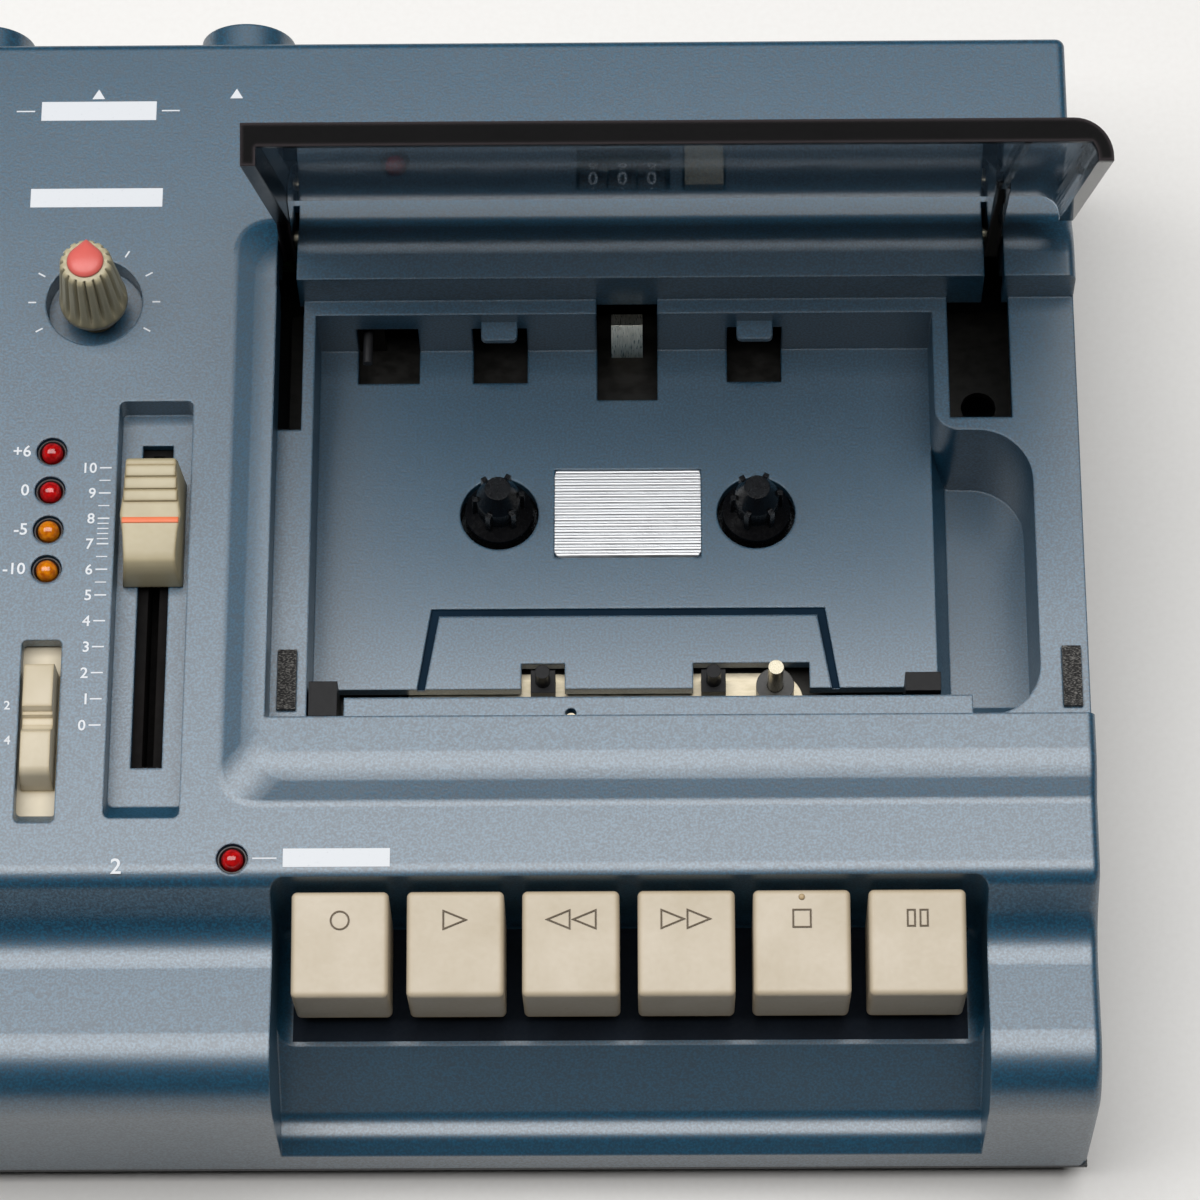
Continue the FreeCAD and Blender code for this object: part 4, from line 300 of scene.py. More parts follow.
print("finishes")
cream = tone(192, 180, 160)
creamShade = tone(180, 167, 144)
yellowed = tone(172, 142, 92)
finishes = {
    "case_paint": casePaint("case_paint"),
    "base_plastic": moulded("base_plastic", tone(44, 46, 50), tone(36, 38, 42), 0.55, size=1500,
                            depth=0.03),
    "foot_rubber": moulded("foot_rubber", tone(32, 32, 33), tone(44, 43, 42), 0.85, size=2200, depth=0.03),
    "screw_steel": metal("screw_steel", tone(150, 150, 148), tone(104, 104, 104), 0.35),
    "smoked_lid": smokedAcrylic("smoked_lid"),
    "pin_steel": metal("pin_steel", tone(196, 190, 172), tone(150, 142, 122), 0.34, stretch=(12, 12, 1)),
    "felt": feltCloth("felt"),
    "chassis_steel": metal("chassis_steel", tone(64, 63, 61), tone(54, 53, 51), 0.5, stretch=(1, 1.5, 1),
                           size=500),
    "reflector": metal("reflector", tone(232, 233, 234), tone(226, 227, 228), 0.42, size=260,
                       depth=0.001),
    "spindle_plastic": moulded("spindle_plastic", tone(9, 9, 11), tone(15, 15, 17), 0.24, size=1600,
                               depth=0.006, edge=0.2, shine=0.3),
    "flywheel_iron": metal("flywheel_iron", tone(140, 138, 134), tone(96, 94, 90), 0.4),
    "bush_black": moulded("bush_black", tone(30, 29, 28), tone(58, 55, 50), 0.35, size=1600),
    "motor_can": metal("motor_can", tone(170, 170, 168), tone(130, 130, 128), 0.3, stretch=(1, 1, 10)),
    "pulley_brass": metal("pulley_brass", tone(214, 180, 104), tone(168, 132, 66), 0.28),
    "belt_rubber": moulded("belt_rubber", tone(22, 22, 23), tone(34, 33, 33), 0.75, size=2400, depth=0.02),
    "head_metal": metal("head_metal", tone(206, 206, 208), tone(168, 168, 172), 0.16, stretch=(6, 1, 1)),
    "guide_plastic": moulded("guide_plastic", tone(12, 12, 14), tone(20, 20, 22), 0.4, size=1600,
                             edge=0.2, shine=0.2),
    "spring_steel": metal("spring_steel", tone(236, 232, 218), tone(206, 200, 182), 0.3,
                          stretch=(8, 1, 1)),
    "feeler_plastic": moulded("feeler_plastic", tone(34, 34, 36), tone(48, 48, 50), 0.45),
    "key_plastic": moulded("key_plastic", cream, creamShade, 0.42, size=1300, depth=0.012, edge=0.5,
                           edgeWearAndHighlight=yellowed),
    "fader_plastic": moulded("fader_plastic", tone(184, 173, 143), tone(168, 156, 126), 0.4, size=1300,
                             edge=0.35, edgeWearAndHighlight=tone(140, 122, 84)),
    "knob_plastic": moulded("knob_plastic", tone(172, 163, 134), tone(146, 136, 108), 0.38, size=1300,
                            edge=0.3, edgeWearAndHighlight=tone(196, 186, 156)),
    "body_plastic": moulded("body_plastic", tone(10, 9, 9), tone(18, 15, 14), 0.7, shine=0.1),
    "phono_plate": metal("phono_plate", tone(214, 212, 206), tone(170, 168, 160), 0.22),
    "red_lens": lampLens("red_lens", tone(196, 18, 20), tone(132, 6, 8)),
    "amber_lens": lampLens("amber_lens", tone(214, 128, 10), tone(168, 82, 6)),
    "board_laminate": boardLaminate("board_laminate"),
    "wheel_plastic": moulded("wheel_plastic", tone(20, 20, 22), tone(30, 30, 32), 0.4),
    "button_plastic": moulded("button_plastic", cream, creamShade, 0.42, size=1300),
    "orangeLine": moulded("orangeLine", tone(232, 124, 78), tone(214, 104, 62), 0.4),
    "switch_plastic": moulded("switch_plastic", tone(200, 189, 167), tone(186, 174, 148), 0.42,
                              size=1300, edge=0.2, edgeWearAndHighlight=tone(164, 146, 110)),
    "knobCap": moulded("knobCap", tone(212, 100, 92), tone(200, 90, 82), 0.34, size=1500, depth=0.006),
    # darker than the key plastic: painted shade along the raised symbol outlines
    "keyMark": moulded("keyMark", tone(96, 80, 58), tone(84, 70, 50), 0.5),
    "panelInk": printInk("panelInk", tone(208, 211, 215), tone(196, 199, 204)),
    "collar": moulded("collar", tone(46, 42, 42), tone(32, 30, 30), 0.3, size=1500, edge=0.1),
    "platePassivated": metal("platePassivated", tone(196, 186, 164), tone(170, 160, 138), 0.4,
                             stretch=(1, 3, 1), size=400),
    # dark navy sheet colour: painted shade on the key bay's floor
    "lining": moulded("lining", tone(16, 23, 32), tone(26, 35, 46), 0.75, size=1800, depth=0.02, edge=0,
                      shine=0.15),
    # dark blue: painted shade at the bottom of the well's groove
    "grooveShade": moulded("grooveShade", tone(5, 24, 38), tone(10, 32, 48), 0.7, size=1800, edge=0,
                         shine=0.08),
    # black lid rim; its lighter edge colour is a painted highlight along the rim's edges
    "rimBlack": moulded("rimBlack", tone(4, 3, 4), tone(8, 7, 8), 0.2, size=1500, depth=0.004,
                        edgeWearAndHighlight=tone(60, 54, 56), shine=0.03),
}
for node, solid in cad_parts.items():
    slotName = solid.material_slots[0].material.name.split(".")[0]
    solid.material_slots[0].material = finishes[slotName]

paper = {"light": (0.8, 0.787, 0.765, 1), "dark": (0.78, 0.765, 0.742, 1), "unseen": grey(0.22)}
floorFinish, floorTree, floorShader = newFinish("floor", paper["light"], 0.9)
paperGrain = shades(floorTree, grain(floorTree, 900, 3), [(0.3, paper["dark"]), (0.7, paper["light"])])
# pale to look at, with little light thrown back up
rays = floorTree.nodes.new("ShaderNodeLightPath")
seen = rays.outputs["Is Camera Ray"]
for kind in ("Is Glossy Ray", "Is Transmission Ray"):
    either = floorTree.nodes.new("ShaderNodeMath")
    either.operation = "MAXIMUM"
    floorTree.links.new(seen, either.inputs[0])
    floorTree.links.new(rays.outputs[kind], either.inputs[1])
    seen = either.outputs[0]
floorTree.links.new(mixed(floorTree, seen, paper["unseen"], paperGrain), floorShader.inputs["Base Color"])
bm = bmesh.new()
bmesh.ops.create_grid(bm, x_segments=8, y_segments=8, size=studio["floorSize"] / 2)
floorMesh = bpy.data.meshes.new("floor")
bm.to_mesh(floorMesh)
bm.free()
floorMesh.materials.append(floorFinish)
floor = bpy.data.objects.new("floor", floorMesh)
bpy.context.collection.objects.link(floor)


def soften(bm, edges, reach, segments=3):
    bmesh.ops.bevel(bm, geom=edges, offset=reach, segments=segments, profile=0.5, affect="EDGES",
                    material=-1)


def pushOut(bm, faces, path):  # extrudes faces along path, and gives the new vertices
    made = bmesh.ops.extrude_face_region(bm, geom=faces)
    moved = [part for part in made["geom"] if isinstance(part, bmesh.types.BMVert)]
    bmesh.ops.translate(bm, verts=moved, vec=path)
    return moved


def joinInto(bm, part):
    mesh = bpy.data.meshes.new("part")
    part.to_mesh(mesh)
    part.free()
    bm.from_mesh(mesh)
    bpy.data.meshes.remove(mesh)


def planOf(verts):  # lowest and highest corners, seen from above
    low = Vector((min(v.co.x for v in verts), min(v.co.y for v in verts), 0))
    high = Vector((max(v.co.x for v in verts), max(v.co.y for v in verts), 0))
    return low, high


def addBlock(bm, low, high, rounding=0.0):
    low, high = Vector(low), Vector(high)
    shape = Matrix.Translation((low + high) / 2) @ Matrix.Diagonal((*(high - low), 1))
    made = bmesh.ops.create_cube(bm, size=1, matrix=shape)
    if rounding:
        soften(bm, list({edge for vert in made["verts"] for edge in vert.link_edges}), rounding)


def addProfile(bm, points, left, right):
    # points are (y, z) round a closed outline, which is pushed along x from left to right
    verts = [bm.verts.new((left, y, z)) for y, z in points]
    pushOut(bm, [bm.faces.new(verts)], (right - left, 0, 0))


def addTurned(bm, points, steps):
    # points are (radius, z) up the outside of a turned shape
    verts = [bm.verts.new((radius, 0, z)) for radius, z in points]
    line = [bm.edges.new(pair) for pair in zip(verts, verts[1:])]
    bmesh.ops.spin(bm, geom=verts + line, cent=(0, 0, 0), axis=(0, 0, 1), dvec=(0, 0, 0),
                   angle=math.tau, steps=steps, use_merge=True, use_duplicate=False)
    bmesh.ops.remove_doubles(bm, verts=bm.verts, dist=0.002)


def addOutline(bm, sides, width, height, line, rise, turn):
    # a raised line round a polygon that fits in width by height
    verts = bmesh.ops.create_circle(bm, cap_ends=True, segments=sides, radius=1)["verts"]
    bmesh.ops.rotate(bm, verts=verts, cent=(0, 0, 0), matrix=Matrix.Rotation(math.radians(turn), 3, "Z"))
    low, high = planOf(verts)
    bmesh.ops.translate(bm, verts=verts, vec=-(low + high) / 2)
    bmesh.ops.scale(bm, verts=verts, vec=(width / (high.x - low.x), height / (high.y - low.y), 1))
    face = verts[0].link_faces[0]
    ring = bmesh.ops.inset_region(bm, faces=[face], thickness=line, use_boundary=True,
                                  use_even_offset=True)["faces"]
    bmesh.ops.delete(bm, geom=[face], context="FACES_ONLY")
    moved = pushOut(bm, ring, (0, 0, rise))
    return list({vert for face in ring for vert in face.verts} | set(moved))


def placed(bm, place, turn=Matrix()):
    # takes a piece from millimetres round its own origin to metres in its place
    bm.transform(Matrix.Translation(place) @ turn @ Matrix.Scale(mm, 4))


def finished(bm, name, finish, body, nodes=(), sharp=32):
    bmesh.ops.recalc_face_normals(bm, faces=bm.faces)
    mesh = bpy.data.meshes.new(name)
    bm.to_mesh(mesh)
    bm.free()
    mesh.shade_smooth()
    mesh.set_sharp_from_angle(angle=math.radians(sharp))
    mesh.materials.append(finish)
    piece = bpy.data.objects.new(name, mesh)
    bpy.context.collection.objects.link(piece)
    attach(piece, body)
    if nodes:
        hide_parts(*nodes)


lettering = {"steps": 3, "weight": 0.012, "depth": 0.02}


def addWriting(bm, words, height, place, rightEnd=False):
    # printed figures, flat on the panel; place is their middle or their right end, at mid height
    curve = bpy.data.curves.new("writing", "FONT")
    curve.body = words
    curve.resolution_u = lettering["steps"]
    curve.offset = lettering["weight"]
    curve.extrude = lettering["depth"]
    text = bpy.data.objects.new("writing", curve)
    bpy.context.collection.objects.link(text)
    bpy.context.view_layer.update()
    flat = bpy.data.meshes.new_from_object(text.evaluated_get(bpy.context.evaluated_depsgraph_get()))
    bpy.data.objects.remove(text)
    before = len(bm.verts)
    bm.from_mesh(flat)
    bpy.data.meshes.remove(flat)
    bm.verts.ensure_lookup_table()
    verts = bm.verts[before:]
    low, high = planOf(verts)
    anchor = high.x if rightEnd else (low.x + high.x) / 2
    bmesh.ops.translate(bm, verts=verts, vec=(-anchor, -(low.y + high.y) / 2, 0))
    size = height / (high.y - low.y)
    bmesh.ops.scale(bm, verts=verts, vec=(size, size, 1))
    bmesh.ops.translate(bm, verts=verts, vec=(place[0], place[1], 0))


print("faders")
faderCap = {
    "side": [(-9.3, 0), (-9.22, 1.2), (-8.9, 3.8), (-8.4, 5.7), (-7.7, 6.9), (-6.2, 7.6), (-3.0, 8.0),
             (0, 8.2), (3.0, 8.9), (8.5, 10.3), (9.1, 9.95), (9.3, 9.0), (9.3, 0)],
    "cuts": (-7.7, -6.2, -3.0, 0, 3.0, 8.5),  # where its width changes along y
    "base": 48.3, "rearEnd": 9.3, "shoulder": 8.2,
    "foot": 4.9, "rear": 4.05, "line": 4.7, "front": 3.95,  # half widths, millimetres
    "rearAt": 9.1, "frontAt": -8.6, "edge": 0.35,
    "grips": [(2.0, 3.75), (3.95, 5.75), (5.95, 7.75)],
    "gripRise": 0.28, "gripSink": 0.4, "gripInset": 0.12, "gripEdge": 0.07,
    "slope": 0.255, "slopeStart": 8.15, "slopeDegrees": 14,
    "stripe": ((-4.58, -1.6, 7.6), (4.58, -0.6, 8.32)), "stripeEdge": 0.12,
    "stem": (0.6, 1.6),  # half width and half depth
}


def faderHalf(y):  # half width of the top at y
    end, there = ("rear", "rearAt") if y > 0 else ("front", "frontAt")
    return faderCap["line"] + (faderCap[end] - faderCap["line"]) * y / faderCap[there]


for channel in ("input_1", "input_2"):
    low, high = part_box(channel + "_fader")
    home = Vector(((low[0] + high[0]) / 2, high[1] - faderCap["rearEnd"] * mm, faderCap["base"] * mm))
    bm = bmesh.new()
    addProfile(bm, faderCap["side"], -1, 1)
    for y in faderCap["cuts"]:
        bmesh.ops.bisect_plane(bm, geom=bm.verts[:] + bm.edges[:] + bm.faces[:], dist=0.0001,
                               plane_co=(0, y, 0), plane_no=(0, 1, 0))
    for vert in bm.verts:
        share = min(vert.co.z / faderCap["shoulder"], 1)
        vert.co.x *= faderCap["foot"] + (faderHalf(vert.co.y) - faderCap["foot"]) * share
    rims = [edge for edge in bm.edges
            if edge.calc_face_angle(0) > 0.5 and edge.verts[0].co.z + edge.verts[1].co.z > 1]
    soften(bm, rims, faderCap["edge"])  # all but the foot
    for start, end in faderCap["grips"]:
        middle = (start + end) / 2
        half = faderHalf(end) - faderCap["gripInset"]
        grip = bmesh.new()
        addBlock(grip, (-half, start, -faderCap["gripSink"]), (half, end, faderCap["gripRise"]),
                 faderCap["gripEdge"])
        lift = middle * faderCap["slope"] + faderCap["slopeStart"]
        grip.transform(Matrix.Translation((0, middle, lift))
                       @ Matrix.Rotation(math.radians(faderCap["slopeDegrees"]), 4, "X")
                       @ Matrix.Translation((0, -middle, 0)))
        joinInto(bm, grip)
    wide, deep = faderCap["stem"]
    addBlock(bm, (-wide, -deep, low[2] / mm - faderCap["base"]), (wide, deep, 1))
    placed(bm, home)
    finished(bm, channel + "_fader_cap", finishes["fader_plastic"], channel + "_fader",
             [channel + "_fader"])
    bm = bmesh.new()
    addBlock(bm, *faderCap["stripe"], faderCap["stripeEdge"])
    placed(bm, home)
    finished(bm, channel + "_fader_line", finishes["orangeLine"], channel + "_fader")

print("switches")
slider = {
    "side": [(10.4, 49.5), (10.4, 54.4), (10.1, 55.1), (9.5, 55.35), (3.3, 55.55), (2.7, 55.6),
             (2.4, 55.2), (2.15, 54.5), (1.6, 54.45), (1.3, 53.75), (0.2, 53.6), (-0.7, 54.1),
             (-1.2, 55.2), (-1.7, 55.6), (-7.4, 55.35), (-8.2, 54.9), (-8.7, 54.0), (-9.3, 51.5),
             (-9.5, 49.5)],  # y, and height over the table
    "half": 2.6, "edge": 0.16, "lean": 0.08, "leanFrom": 50, "leanOver": 5.6, "rimFrom": 50.5,
    "skirt": ((-4.1, -20, 48.4), (4.1, 20, 49.6)), "skirtEdge": 0.15,
    "stem": (1, 1.5), "stemTop": 49,
}
for channel in ("input_1", "input_2"):
    low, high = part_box(channel + "_switch")
    home = Vector(((low[0] + high[0]) / 2, (low[1] + high[1]) / 2, 0))
    bm = bmesh.new()
    addProfile(bm, slider["side"], -slider["half"], slider["half"])
    for vert in bm.verts:  # the sides lean in towards the top
        vert.co.x *= 1 - slider["lean"] * max(0, (vert.co.z - slider["leanFrom"]) / slider["leanOver"])
    rims = [edge for edge in bm.edges if edge.verts[0].co.x * edge.verts[1].co.x > 0
            and (edge.verts[0].co.z + edge.verts[1].co.z) / 2 > slider["rimFrom"]]
    soften(bm, rims, slider["edge"], 2)
    addBlock(bm, *slider["skirt"], slider["skirtEdge"])
    wide, deep = slider["stem"]
    addBlock(bm, (-wide, -deep, low[2] / mm), (wide, deep, slider["stemTop"]))
    placed(bm, home)
    finished(bm, channel + "_switch_slider", finishes["switch_plastic"], channel + "_switch",
             [channel + "_switch"])

print("knobs")
knob = {
    "base": 53.3, "flutes": 16, "fluteDepth": 0.85, "fluteSharpness": 3,
    "fluteFrom": 1.6, "fluteFade": 1.2, "fluteInside": 4.0,
    "side": [(5.35, 0), (5.6, 0.3), (5.6, 1.4), (5.45, 2.2), (5.24, 4.2), (4.98, 6.6), (4.72, 9.0),
             (4.48, 11.4), (4.3, 13.0), (4.08, 13.7), (3.6, 14.02), (2.6, 14.08), (0, 14.08)],
    "stem": 3.0, "stemTop": 0.2,
    "cap": [(0, 13.85), (2.85, 13.85), (3.0, 14.2), (2.85, 14.5), (2.2, 14.86), (1.25, 15.08), (0, 15.15)],
    "capRadius": 3.0, "pointer": 4.1, "pointerAngle": 0.62, "pointerSharpness": 1.6, "pointerDrop": 0.12,
}
knobs = [node for node in sorted(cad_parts) if node.endswith("_knob")]
for node in knobs:
    low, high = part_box(node)
    home = Vector(((low[0] + high[0]) / 2, (low[1] + high[1]) / 2, knob["base"] * mm))
    bm = bmesh.new()
    addTurned(bm, knob["side"], knob["flutes"] * 8)
    for vert in bm.verts:
        radius = vert.co.xy.length
        around = math.atan2(vert.co.y, vert.co.x)
        wave = max(0, math.cos(around * knob["flutes"])) ** knob["fluteSharpness"]
        reach = min(max((vert.co.z - knob["fluteFrom"]) / knob["fluteFade"], 0), 1)
        if radius > knob["fluteInside"]:
            vert.co.xy *= 1 - knob["fluteDepth"] * wave * reach / radius
    foot = low[2] / mm - knob["base"]
    addTurned(bm, [(0, foot), (knob["stem"], foot), (knob["stem"], knob["stemTop"]),
                   (0, knob["stemTop"])], 32)
    placed(bm, home)
    finished(bm, node + "_body", finishes["knob_plastic"], node, [node], 40)
    bm = bmesh.new()
    addTurned(bm, knob["cap"], 72)
    for vert in bm.verts:  # the pointer is drawn out of the cap's rear edge
        around = math.atan2(vert.co.x, vert.co.y)
        lean = max(0, 1 - abs(around) / knob["pointerAngle"]) ** knob["pointerSharpness"]
        share = vert.co.xy.length / knob["capRadius"]
        vert.co.y += lean * share * share * (knob["pointer"] - knob["capRadius"]) * (vert.co.y > 0)
        vert.co.z -= lean * share * share * knob["pointerDrop"]
    placed(bm, home)
    finished(bm, node + "_cap", finishes["knobCap"], node, (), 50)

print("key marks")
keyMark = {"line": 0.26, "rise": 0.1, "y": -76.6, "z": 48.62, "lean": 11.24,
           "dot": 0.5, "dotAt": (0, 3.4, 0.02), "dotFlat": 0.6}
symbols = {  # each outline's sides, width, height, turn and shift along x
    "record": [(48, 3.1, 3.1, 0, 0)],
    "play": [(3, 4.0, 3.3, -90, 0)],
    "rewind": [(3, 4.0, 3.3, 90, -2.05), (3, 4.0, 3.3, 90, 2.05)],
    "forward": [(3, 4.0, 3.3, -90, -2.05), (3, 4.0, 3.3, -90, 2.05)],
    "stop": [(4, 3.0, 3.0, 45, 0)],
    "pause": [(4, 1.4, 2.8, 45, -1.0), (4, 1.4, 2.8, 45, 1.0)],
}
keyLean = Matrix.Rotation(math.radians(keyMark["lean"]), 4, "X")
for key, shapes in symbols.items():
    low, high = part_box(key + "_key")
    home = Vector(((low[0] + high[0]) / 2, reels.y + keyMark["y"] * mm, keyMark["z"] * mm))
    bm = bmesh.new()
    for sides, width, height, turn, shift in shapes:
        verts = addOutline(bm, sides, width, height, keyMark["line"], keyMark["rise"], turn)
        bmesh.ops.translate(bm, verts=verts, vec=(shift, 0, 0))
    placed(bm, home, keyLean)
    finished(bm, key + "_mark", finishes["keyMark"], key + "_key", ())
    if key == "stop":
        bm = bmesh.new()
        spot = Matrix.Translation(keyMark["dotAt"]) @ Matrix.Diagonal((1, 1, keyMark["dotFlat"], 1))
        bmesh.ops.create_icosphere(bm, subdivisions=3, radius=keyMark["dot"], matrix=spot)
        placed(bm, home, keyLean)
        finished(bm, "stop_dot", finishes["key_plastic"], "stop_key", ())

# dark sheet on the floor of the key bay, turned up at the rear: painted shade under the keys
bayShadeSheet = {"front": -89.2, "bend": -73.7, "rear": -70.9, "radius": 3.0, "side": 58.0, "floor": 27.0,
             "gap": 0.01, "thick": 0.05}
bm = bmesh.new()
bmesh.ops.create_grid(bm, x_segments=24, y_segments=60, size=1)
for vert in bm.verts:
    y = bayShadeSheet["front"] + (vert.co.y + 1) / 2 * (bayShadeSheet["rear"] - bayShadeSheet["front"])
    past = max(0, y - bayShadeSheet["bend"])
    lift = bayShadeSheet["radius"] - math.sqrt(bayShadeSheet["radius"] ** 2 - past ** 2)
    vert.co = Vector((vert.co.x * bayShadeSheet["side"], y, lift))
pushOut(bm, bm.faces[:], (0, 0, bayShadeSheet["thick"]))
placed(bm, at(0, 0, bayShadeSheet["floor"] + bayShadeSheet["gap"]))
finished(bm, "bay_shade_sheet", finishes["lining"], "case", ())

print("panel print")
inkDepth = 0.02
faderScale = {
    "x": -84.8, "top": 0.3, "step": 4.53, "figure": 1.85, "figureGap": 1.35,
    "left": 0.85, "right": 1.05, "line": 0.24, "fineRight": 0.95, "fineLine": 0.17,
    "between": (9.5, 8.5, 7.8, 7.6, 7.4, 7.2, 6.5, 5.5),
}
legend = {  # figures with their places, and blocks and rules by their left and right ends
    "meter": (("+6", 3.4), ("0", -3.6), ("-5", -10.6), ("-10", -17.6)), "meterX": -97.0, "meterSize": 2.05,
    "switch": (("2", (-98.8, -41.5)), ("4", (-98.5, -47.5))), "small": 1.5,
    "labels": ((-99.2, -77.2, 48.4, 51.9), (-98.1, -78.8, 64.9, 68.5)),
    "rules": ((-102.3, -99.2), (-77.9, -74.9)), "rulesY": 66.7,
    "channels": (("2", (-80.4, -69.0)), ("1", (-125.0, -69.0))), "channelSize": 2.6,
    "recordRule": (-59.0, -55.2, -67.8, 0.22), "recordLabel": (-54.2, -37.4, -69.3, -66.2),
    "trackRise": 13.2, "trackSize": 2.2, "levelEnds": (("0", -6.6), ("10", 6.4)), "levelDrop": -9.2,
    "sockets": (-88.6, -65.4, -133.2), "socketsY": 69.6, "socketsSize": 1.25,
}
knobTicks = {"first": -30, "step": 30, "count": 9, "near": 8.7, "far": 9.6, "long": 1.3, "line": 0.26,
             "sides": 0.8}
ink = bmesh.new()


def printBlock(left, right, low, high):
    addBlock(ink, (left, low, -inkDepth), (right, high, inkDepth))


def printRule(left, right, y, line=faderScale["line"]):
    printBlock(left, right, y - line / 2, y + line / 2)


for shift in channelShifts:
    x = faderScale["x"]
    for figure in range(11):
        y = faderScale["top"] - faderScale["step"] * (10 - figure)
        addWriting(ink, str(figure), faderScale["figure"], (x - faderScale["figureGap"] + shift, y), True)
        printRule(x - faderScale["left"] + shift, x + faderScale["right"] + shift, y)
    for figure in faderScale["between"]:
        y = faderScale["top"] - faderScale["step"] * (10 - figure)
        printRule(x - faderScale["left"] + shift, x + faderScale["fineRight"] + shift, y,
                  faderScale["fineLine"])
    for words, y in legend["meter"]:
        addWriting(ink, words, legend["meterSize"], (legend["meterX"] + shift, y), True)
    for words, (x, y) in legend["switch"]:
        addWriting(ink, words, legend["small"], (x + shift, y))
    for left, right, low, high in legend["labels"]:
        printBlock(left + shift, right + shift, low, high)
    for left, right in legend["rules"]:
        printRule(left + shift, right + shift, legend["rulesY"])
for words, place in legend["channels"]:
    addWriting(ink, words, legend["channelSize"], place)
printRule(*legend["recordRule"])
printBlock(*legend["recordLabel"])
for node in knobs:
    middle = middleOf(node)
    x, y = (middle.x - reels.x) / mm, (middle.y - reels.y) / mm
    reach = knobTicks["far"] if "trim" in node or "phones" in node else knobTicks["near"]
    for step in range(knobTicks["count"]):
        angle = math.radians(knobTicks["first"] + knobTicks["step"] * step)
        if "trim" not in node and abs(math.cos(angle)) > knobTicks["sides"]:
            continue
        spot = Matrix.Translation((x, y, 0)) @ Matrix.Rotation(angle, 4, "Z")
        tick = Matrix.Diagonal((knobTicks["long"], knobTicks["line"], 2 * inkDepth, 1))
        bmesh.ops.create_cube(
            ink, size=1, matrix=spot @ Matrix.Translation((reach + knobTicks["long"] / 2, 0, 0)) @ tick)
    if "pan" in node:
        addWriting(ink, node.split("_")[1], legend["trackSize"], (x, y + legend["trackRise"]))
    if "level" in node:
        for words, side in legend["levelEnds"]:
            addWriting(ink, words, legend["small"], (x + side, y + legend["levelDrop"]))
for x in legend["sockets"]:  # pointers up to the rear sockets
    bmesh.ops.create_circle(ink, cap_ends=True, segments=3, radius=legend["socketsSize"],
                            matrix=Matrix.Translation((x, legend["socketsY"], inkDepth)))
placed(ink, at(0, 0, panelTop + inkDepth))
finished(ink, "panel_print", finishes["panelInk"], "case")

print("well fittings")
reflector = {"ribs": 15, "rise": 0.42, "corner": 1.3, "sink": 0.05, "thick": 0.45}
low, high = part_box("reflector_plate")
halfX, halfY = (high[0] - low[0]) / 2 / mm, (high[1] - low[1]) / 2 / mm
bm = bmesh.new()
bmesh.ops.create_grid(bm, x_segments=6, y_segments=reflector["ribs"] * 8, size=1)
for vert in bm.verts:
    wave = math.sin(math.pi * reflector["ribs"] * (vert.co.y + 1) / 2)
    vert.co.y *= halfY
    over = max(0, abs(vert.co.y) - halfY + reflector["corner"])
    tuck = reflector["corner"] - math.sqrt(max(0, reflector["corner"] ** 2 - over ** 2))
    vert.co.x *= halfX - tuck
    vert.co.z = reflector["sink"] + reflector["rise"] * abs(wave)
pushOut(bm, bm.faces[:], (0, 0, -reflector["thick"]))
placed(bm, at(0, 0, wellFloor - reflector["sink"]))
finished(bm, "ribbed_reflector", finishes["reflector"], "case", ["reflector_plate"])

# dark strip along the bottom of the well's groove: painted shade in the groove
grooveShadeStrip = {"foot": 34.5, "top": 32.3, "front": -31.4, "rear": -17.2, "width": 1.3, "sink": 0.56,
              "thick": 0.08}
bm = bmesh.new()
outer = [(-grooveShadeStrip["foot"], grooveShadeStrip["front"]), (-grooveShadeStrip["top"], grooveShadeStrip["rear"]),
         (grooveShadeStrip["top"], grooveShadeStrip["rear"]), (grooveShadeStrip["foot"], grooveShadeStrip["front"])]
inset = [(1, 0), (1, -1), (-1, -1), (-1, 0)]
path = [bm.verts.new((x, y, 0)) for x, y in outer]
within = [bm.verts.new((x + side * grooveShadeStrip["width"], y + back * grooveShadeStrip["width"], 0))
          for (x, y), (side, back) in zip(outer, inset)]
for n in range(3):
    bm.faces.new((path[n], path[n + 1], within[n + 1], within[n]))
pushOut(bm, bm.faces[:], (0, 0, grooveShadeStrip["thick"]))
placed(bm, at(0, 0, wellFloor - grooveShadeStrip["sink"]))
finished(bm, "well_groove_shade", finishes["grooveShade"], "case")

# passivated plate round the capstan, seen through the front notches
capstanPlate = {"left": -36, "right": 28.6, "front": -36.2, "rear": -27.4, "low": 30.9, "high": 31.5,
                "corner": 5.0}
bm = bmesh.new()
addBlock(bm, (capstanPlate["left"], capstanPlate["front"], capstanPlate["low"]),
         (capstanPlate["right"], capstanPlate["rear"], capstanPlate["high"]))
corners = [edge for edge in bm.edges if abs(edge.verts[0].co.z - edge.verts[1].co.z) > 0.1
           and edge.verts[0].co.y > -30 and edge.verts[0].co.x > 20]
soften(bm, corners, capstanPlate["corner"], 10)
placed(bm, at(0, 0, 0))
finished(bm, "capstan_plate", finishes["platePassivated"], "case", ())

cassetteTab = {"x": 21.2, "half": 3.0, "front": 27.0, "rear": 31.2, "low": 9.3, "high": 10.3,
               "corner": 0.9}
bm = bmesh.new()
for x in (-cassetteTab["x"], cassetteTab["x"]):
    front, rear, low, high = (cassetteTab[side] for side in ("front", "rear", "low", "high"))
    addProfile(bm, [(front, low), (rear, low), (rear, high), (front, high)],
               x - cassetteTab["half"], x + cassetteTab["half"])
    corners = [edge for edge in bm.edges if abs(edge.verts[0].co.z - edge.verts[1].co.z) > 0.9
               and edge.verts[0].co.y < front + 0.1
               and abs(edge.verts[0].co.x - x) < cassetteTab["half"] + 0.1]
    soften(bm, corners, cassetteTab["corner"], 4)
placed(bm, at(0, 0, wellFloor))
finished(bm, "cassette_tabs", finishes["case_paint"], "case", ())

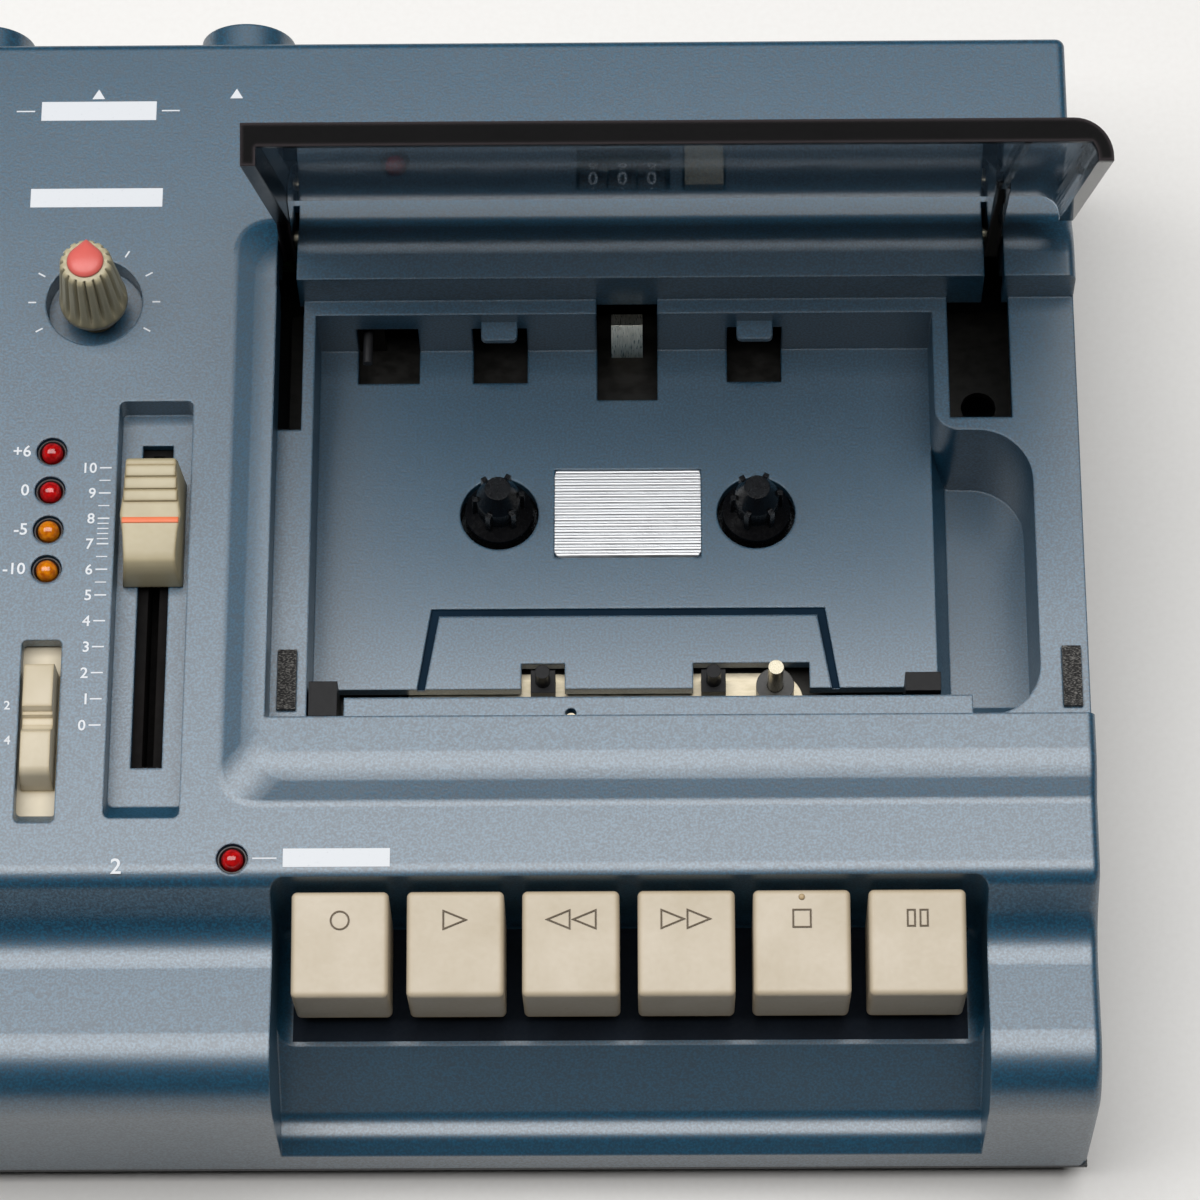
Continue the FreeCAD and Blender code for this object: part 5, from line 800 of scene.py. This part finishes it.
lampCollar = {
    "side": [(1.85, -2.6), (2.42, -2.6), (2.42, -0.75), (2.3, -0.62), (2.1, -0.62), (1.85, -1.1),
             (1.85, -2.6)],
    "record": (-62.2, -67.8), "power": (-38.6, 58.7),
    "meterX": -93.6, "meterY": (-17.7, -10.7, -3.7, 3.3),
}
lampSpots = [lampCollar["record"], lampCollar["power"]]
for shift in channelShifts:
    lampSpots += [(lampCollar["meterX"] + shift, y) for y in lampCollar["meterY"]]
bm = bmesh.new()
for x, y in lampSpots:
    collar = bmesh.new()
    addTurned(collar, lampCollar["side"], 40)
    collar.transform(Matrix.Translation((x, y, 0)))
    joinInto(bm, collar)
placed(bm, at(0, 0, panelTop))
finished(bm, "lamp_collars", finishes["collar"], "case", ())

print("lid")
lidRim = {
    "pinY": 44.5, "pinZ": 48.3, "open": 68.5, "lip": 1.95, "side": 2.3,
    "armX": 59.4, "plate": 4.8, "core": 0.14, "coreGap": 0.1,
}
pin = at(0, lidRim["pinY"], lidRim["pinZ"])
opened = math.radians(lidRim["open"])
forward = Vector((0, -math.cos(opened), math.sin(opened)))  # along the open lid, away from its hinge
outward = Vector((0, math.sin(opened), math.cos(opened)))
sideways = Vector((1, 0, 0))
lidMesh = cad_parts["lid"].data
lidReach = max((vert.co - pin).dot(forward) for vert in lidMesh.vertices)
lipRear = pin + forward * (lidReach - lidRim["lip"] * mm)
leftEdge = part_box("lid")[0][0]
sideEdge = Vector((leftEdge + lidRim["side"] * mm, 0, 0))
seam = 0.00001


def lidPart(cuts):  # what is left of the lid when the side that each cut's arrow points to is gone
    part = bmesh.new()
    part.from_mesh(lidMesh)
    bmesh.ops.remove_doubles(part, verts=part.verts, dist=seam)
    for place, side in cuts:
        cut = bmesh.ops.bisect_plane(part, geom=part.verts[:] + part.edges[:] + part.faces[:],
                                     plane_co=place + side * -seam, plane_no=side, clear_outer=True)
        edges = [piece for piece in cut["geom_cut"] if isinstance(piece, bmesh.types.BMEdge)]
        bmesh.ops.triangle_fill(part, use_beauty=True, edges=edges)
    bmesh.ops.recalc_face_normals(part, faces=part.faces)
    return part


window = lidPart([(lipRear, forward), (sideEdge, -sideways)])
finished(window, "lid_window", finishes["smoked_lid"], "lid", ["lid"], 6)
armSide = at(lidRim["armX"], 0, 0)
arm = lidPart([(lipRear - forward * lidRim["coreGap"] * mm, forward), (armSide, -sideways),
               (armSide + sideways * lidRim["side"] * mm, sideways),
               (pin + outward * lidRim["plate"] * mm, outward)])
arm.normal_update()
for vert, shift in [(vert, vert.normal * vert.calc_shell_factor()) for vert in arm.verts]:
    vert.co -= shift * lidRim["core"] * mm  # a dark core just under the clear surface
rim = lidPart([(lipRear, -forward)])
joinInto(rim, lidPart([(lipRear, forward), (sideEdge, sideways)]))
joinInto(rim, arm)
finished(rim, "lid_rim", finishes["rimBlack"], "lid", (), 6)

print("tape counter")
counter = {"left": -8.05, "width": 14.8, "wheels": 3, "y": 57.4, "z": 45.0, "radius": 4.62, "figure": 2.5}
bm = bmesh.new()
for wheel in range(counter["wheels"]):
    x = counter["left"] + (wheel + 0.5) * counter["width"] / counter["wheels"]
    for figure in range(10):
        face = bmesh.new()
        addWriting(face, str(figure), counter["figure"], (0, 0))
        face.transform(Matrix.Translation((x, counter["y"], counter["z"]))
                       @ Matrix.Rotation(math.radians(36 * figure), 4, "X")
                       @ Matrix.Translation((0, 0, counter["radius"])))
        joinInto(bm, face)
placed(bm, at(0, 0, 0))
finished(bm, "counter_figures", finishes["panelInk"], "counter_wheels", ())
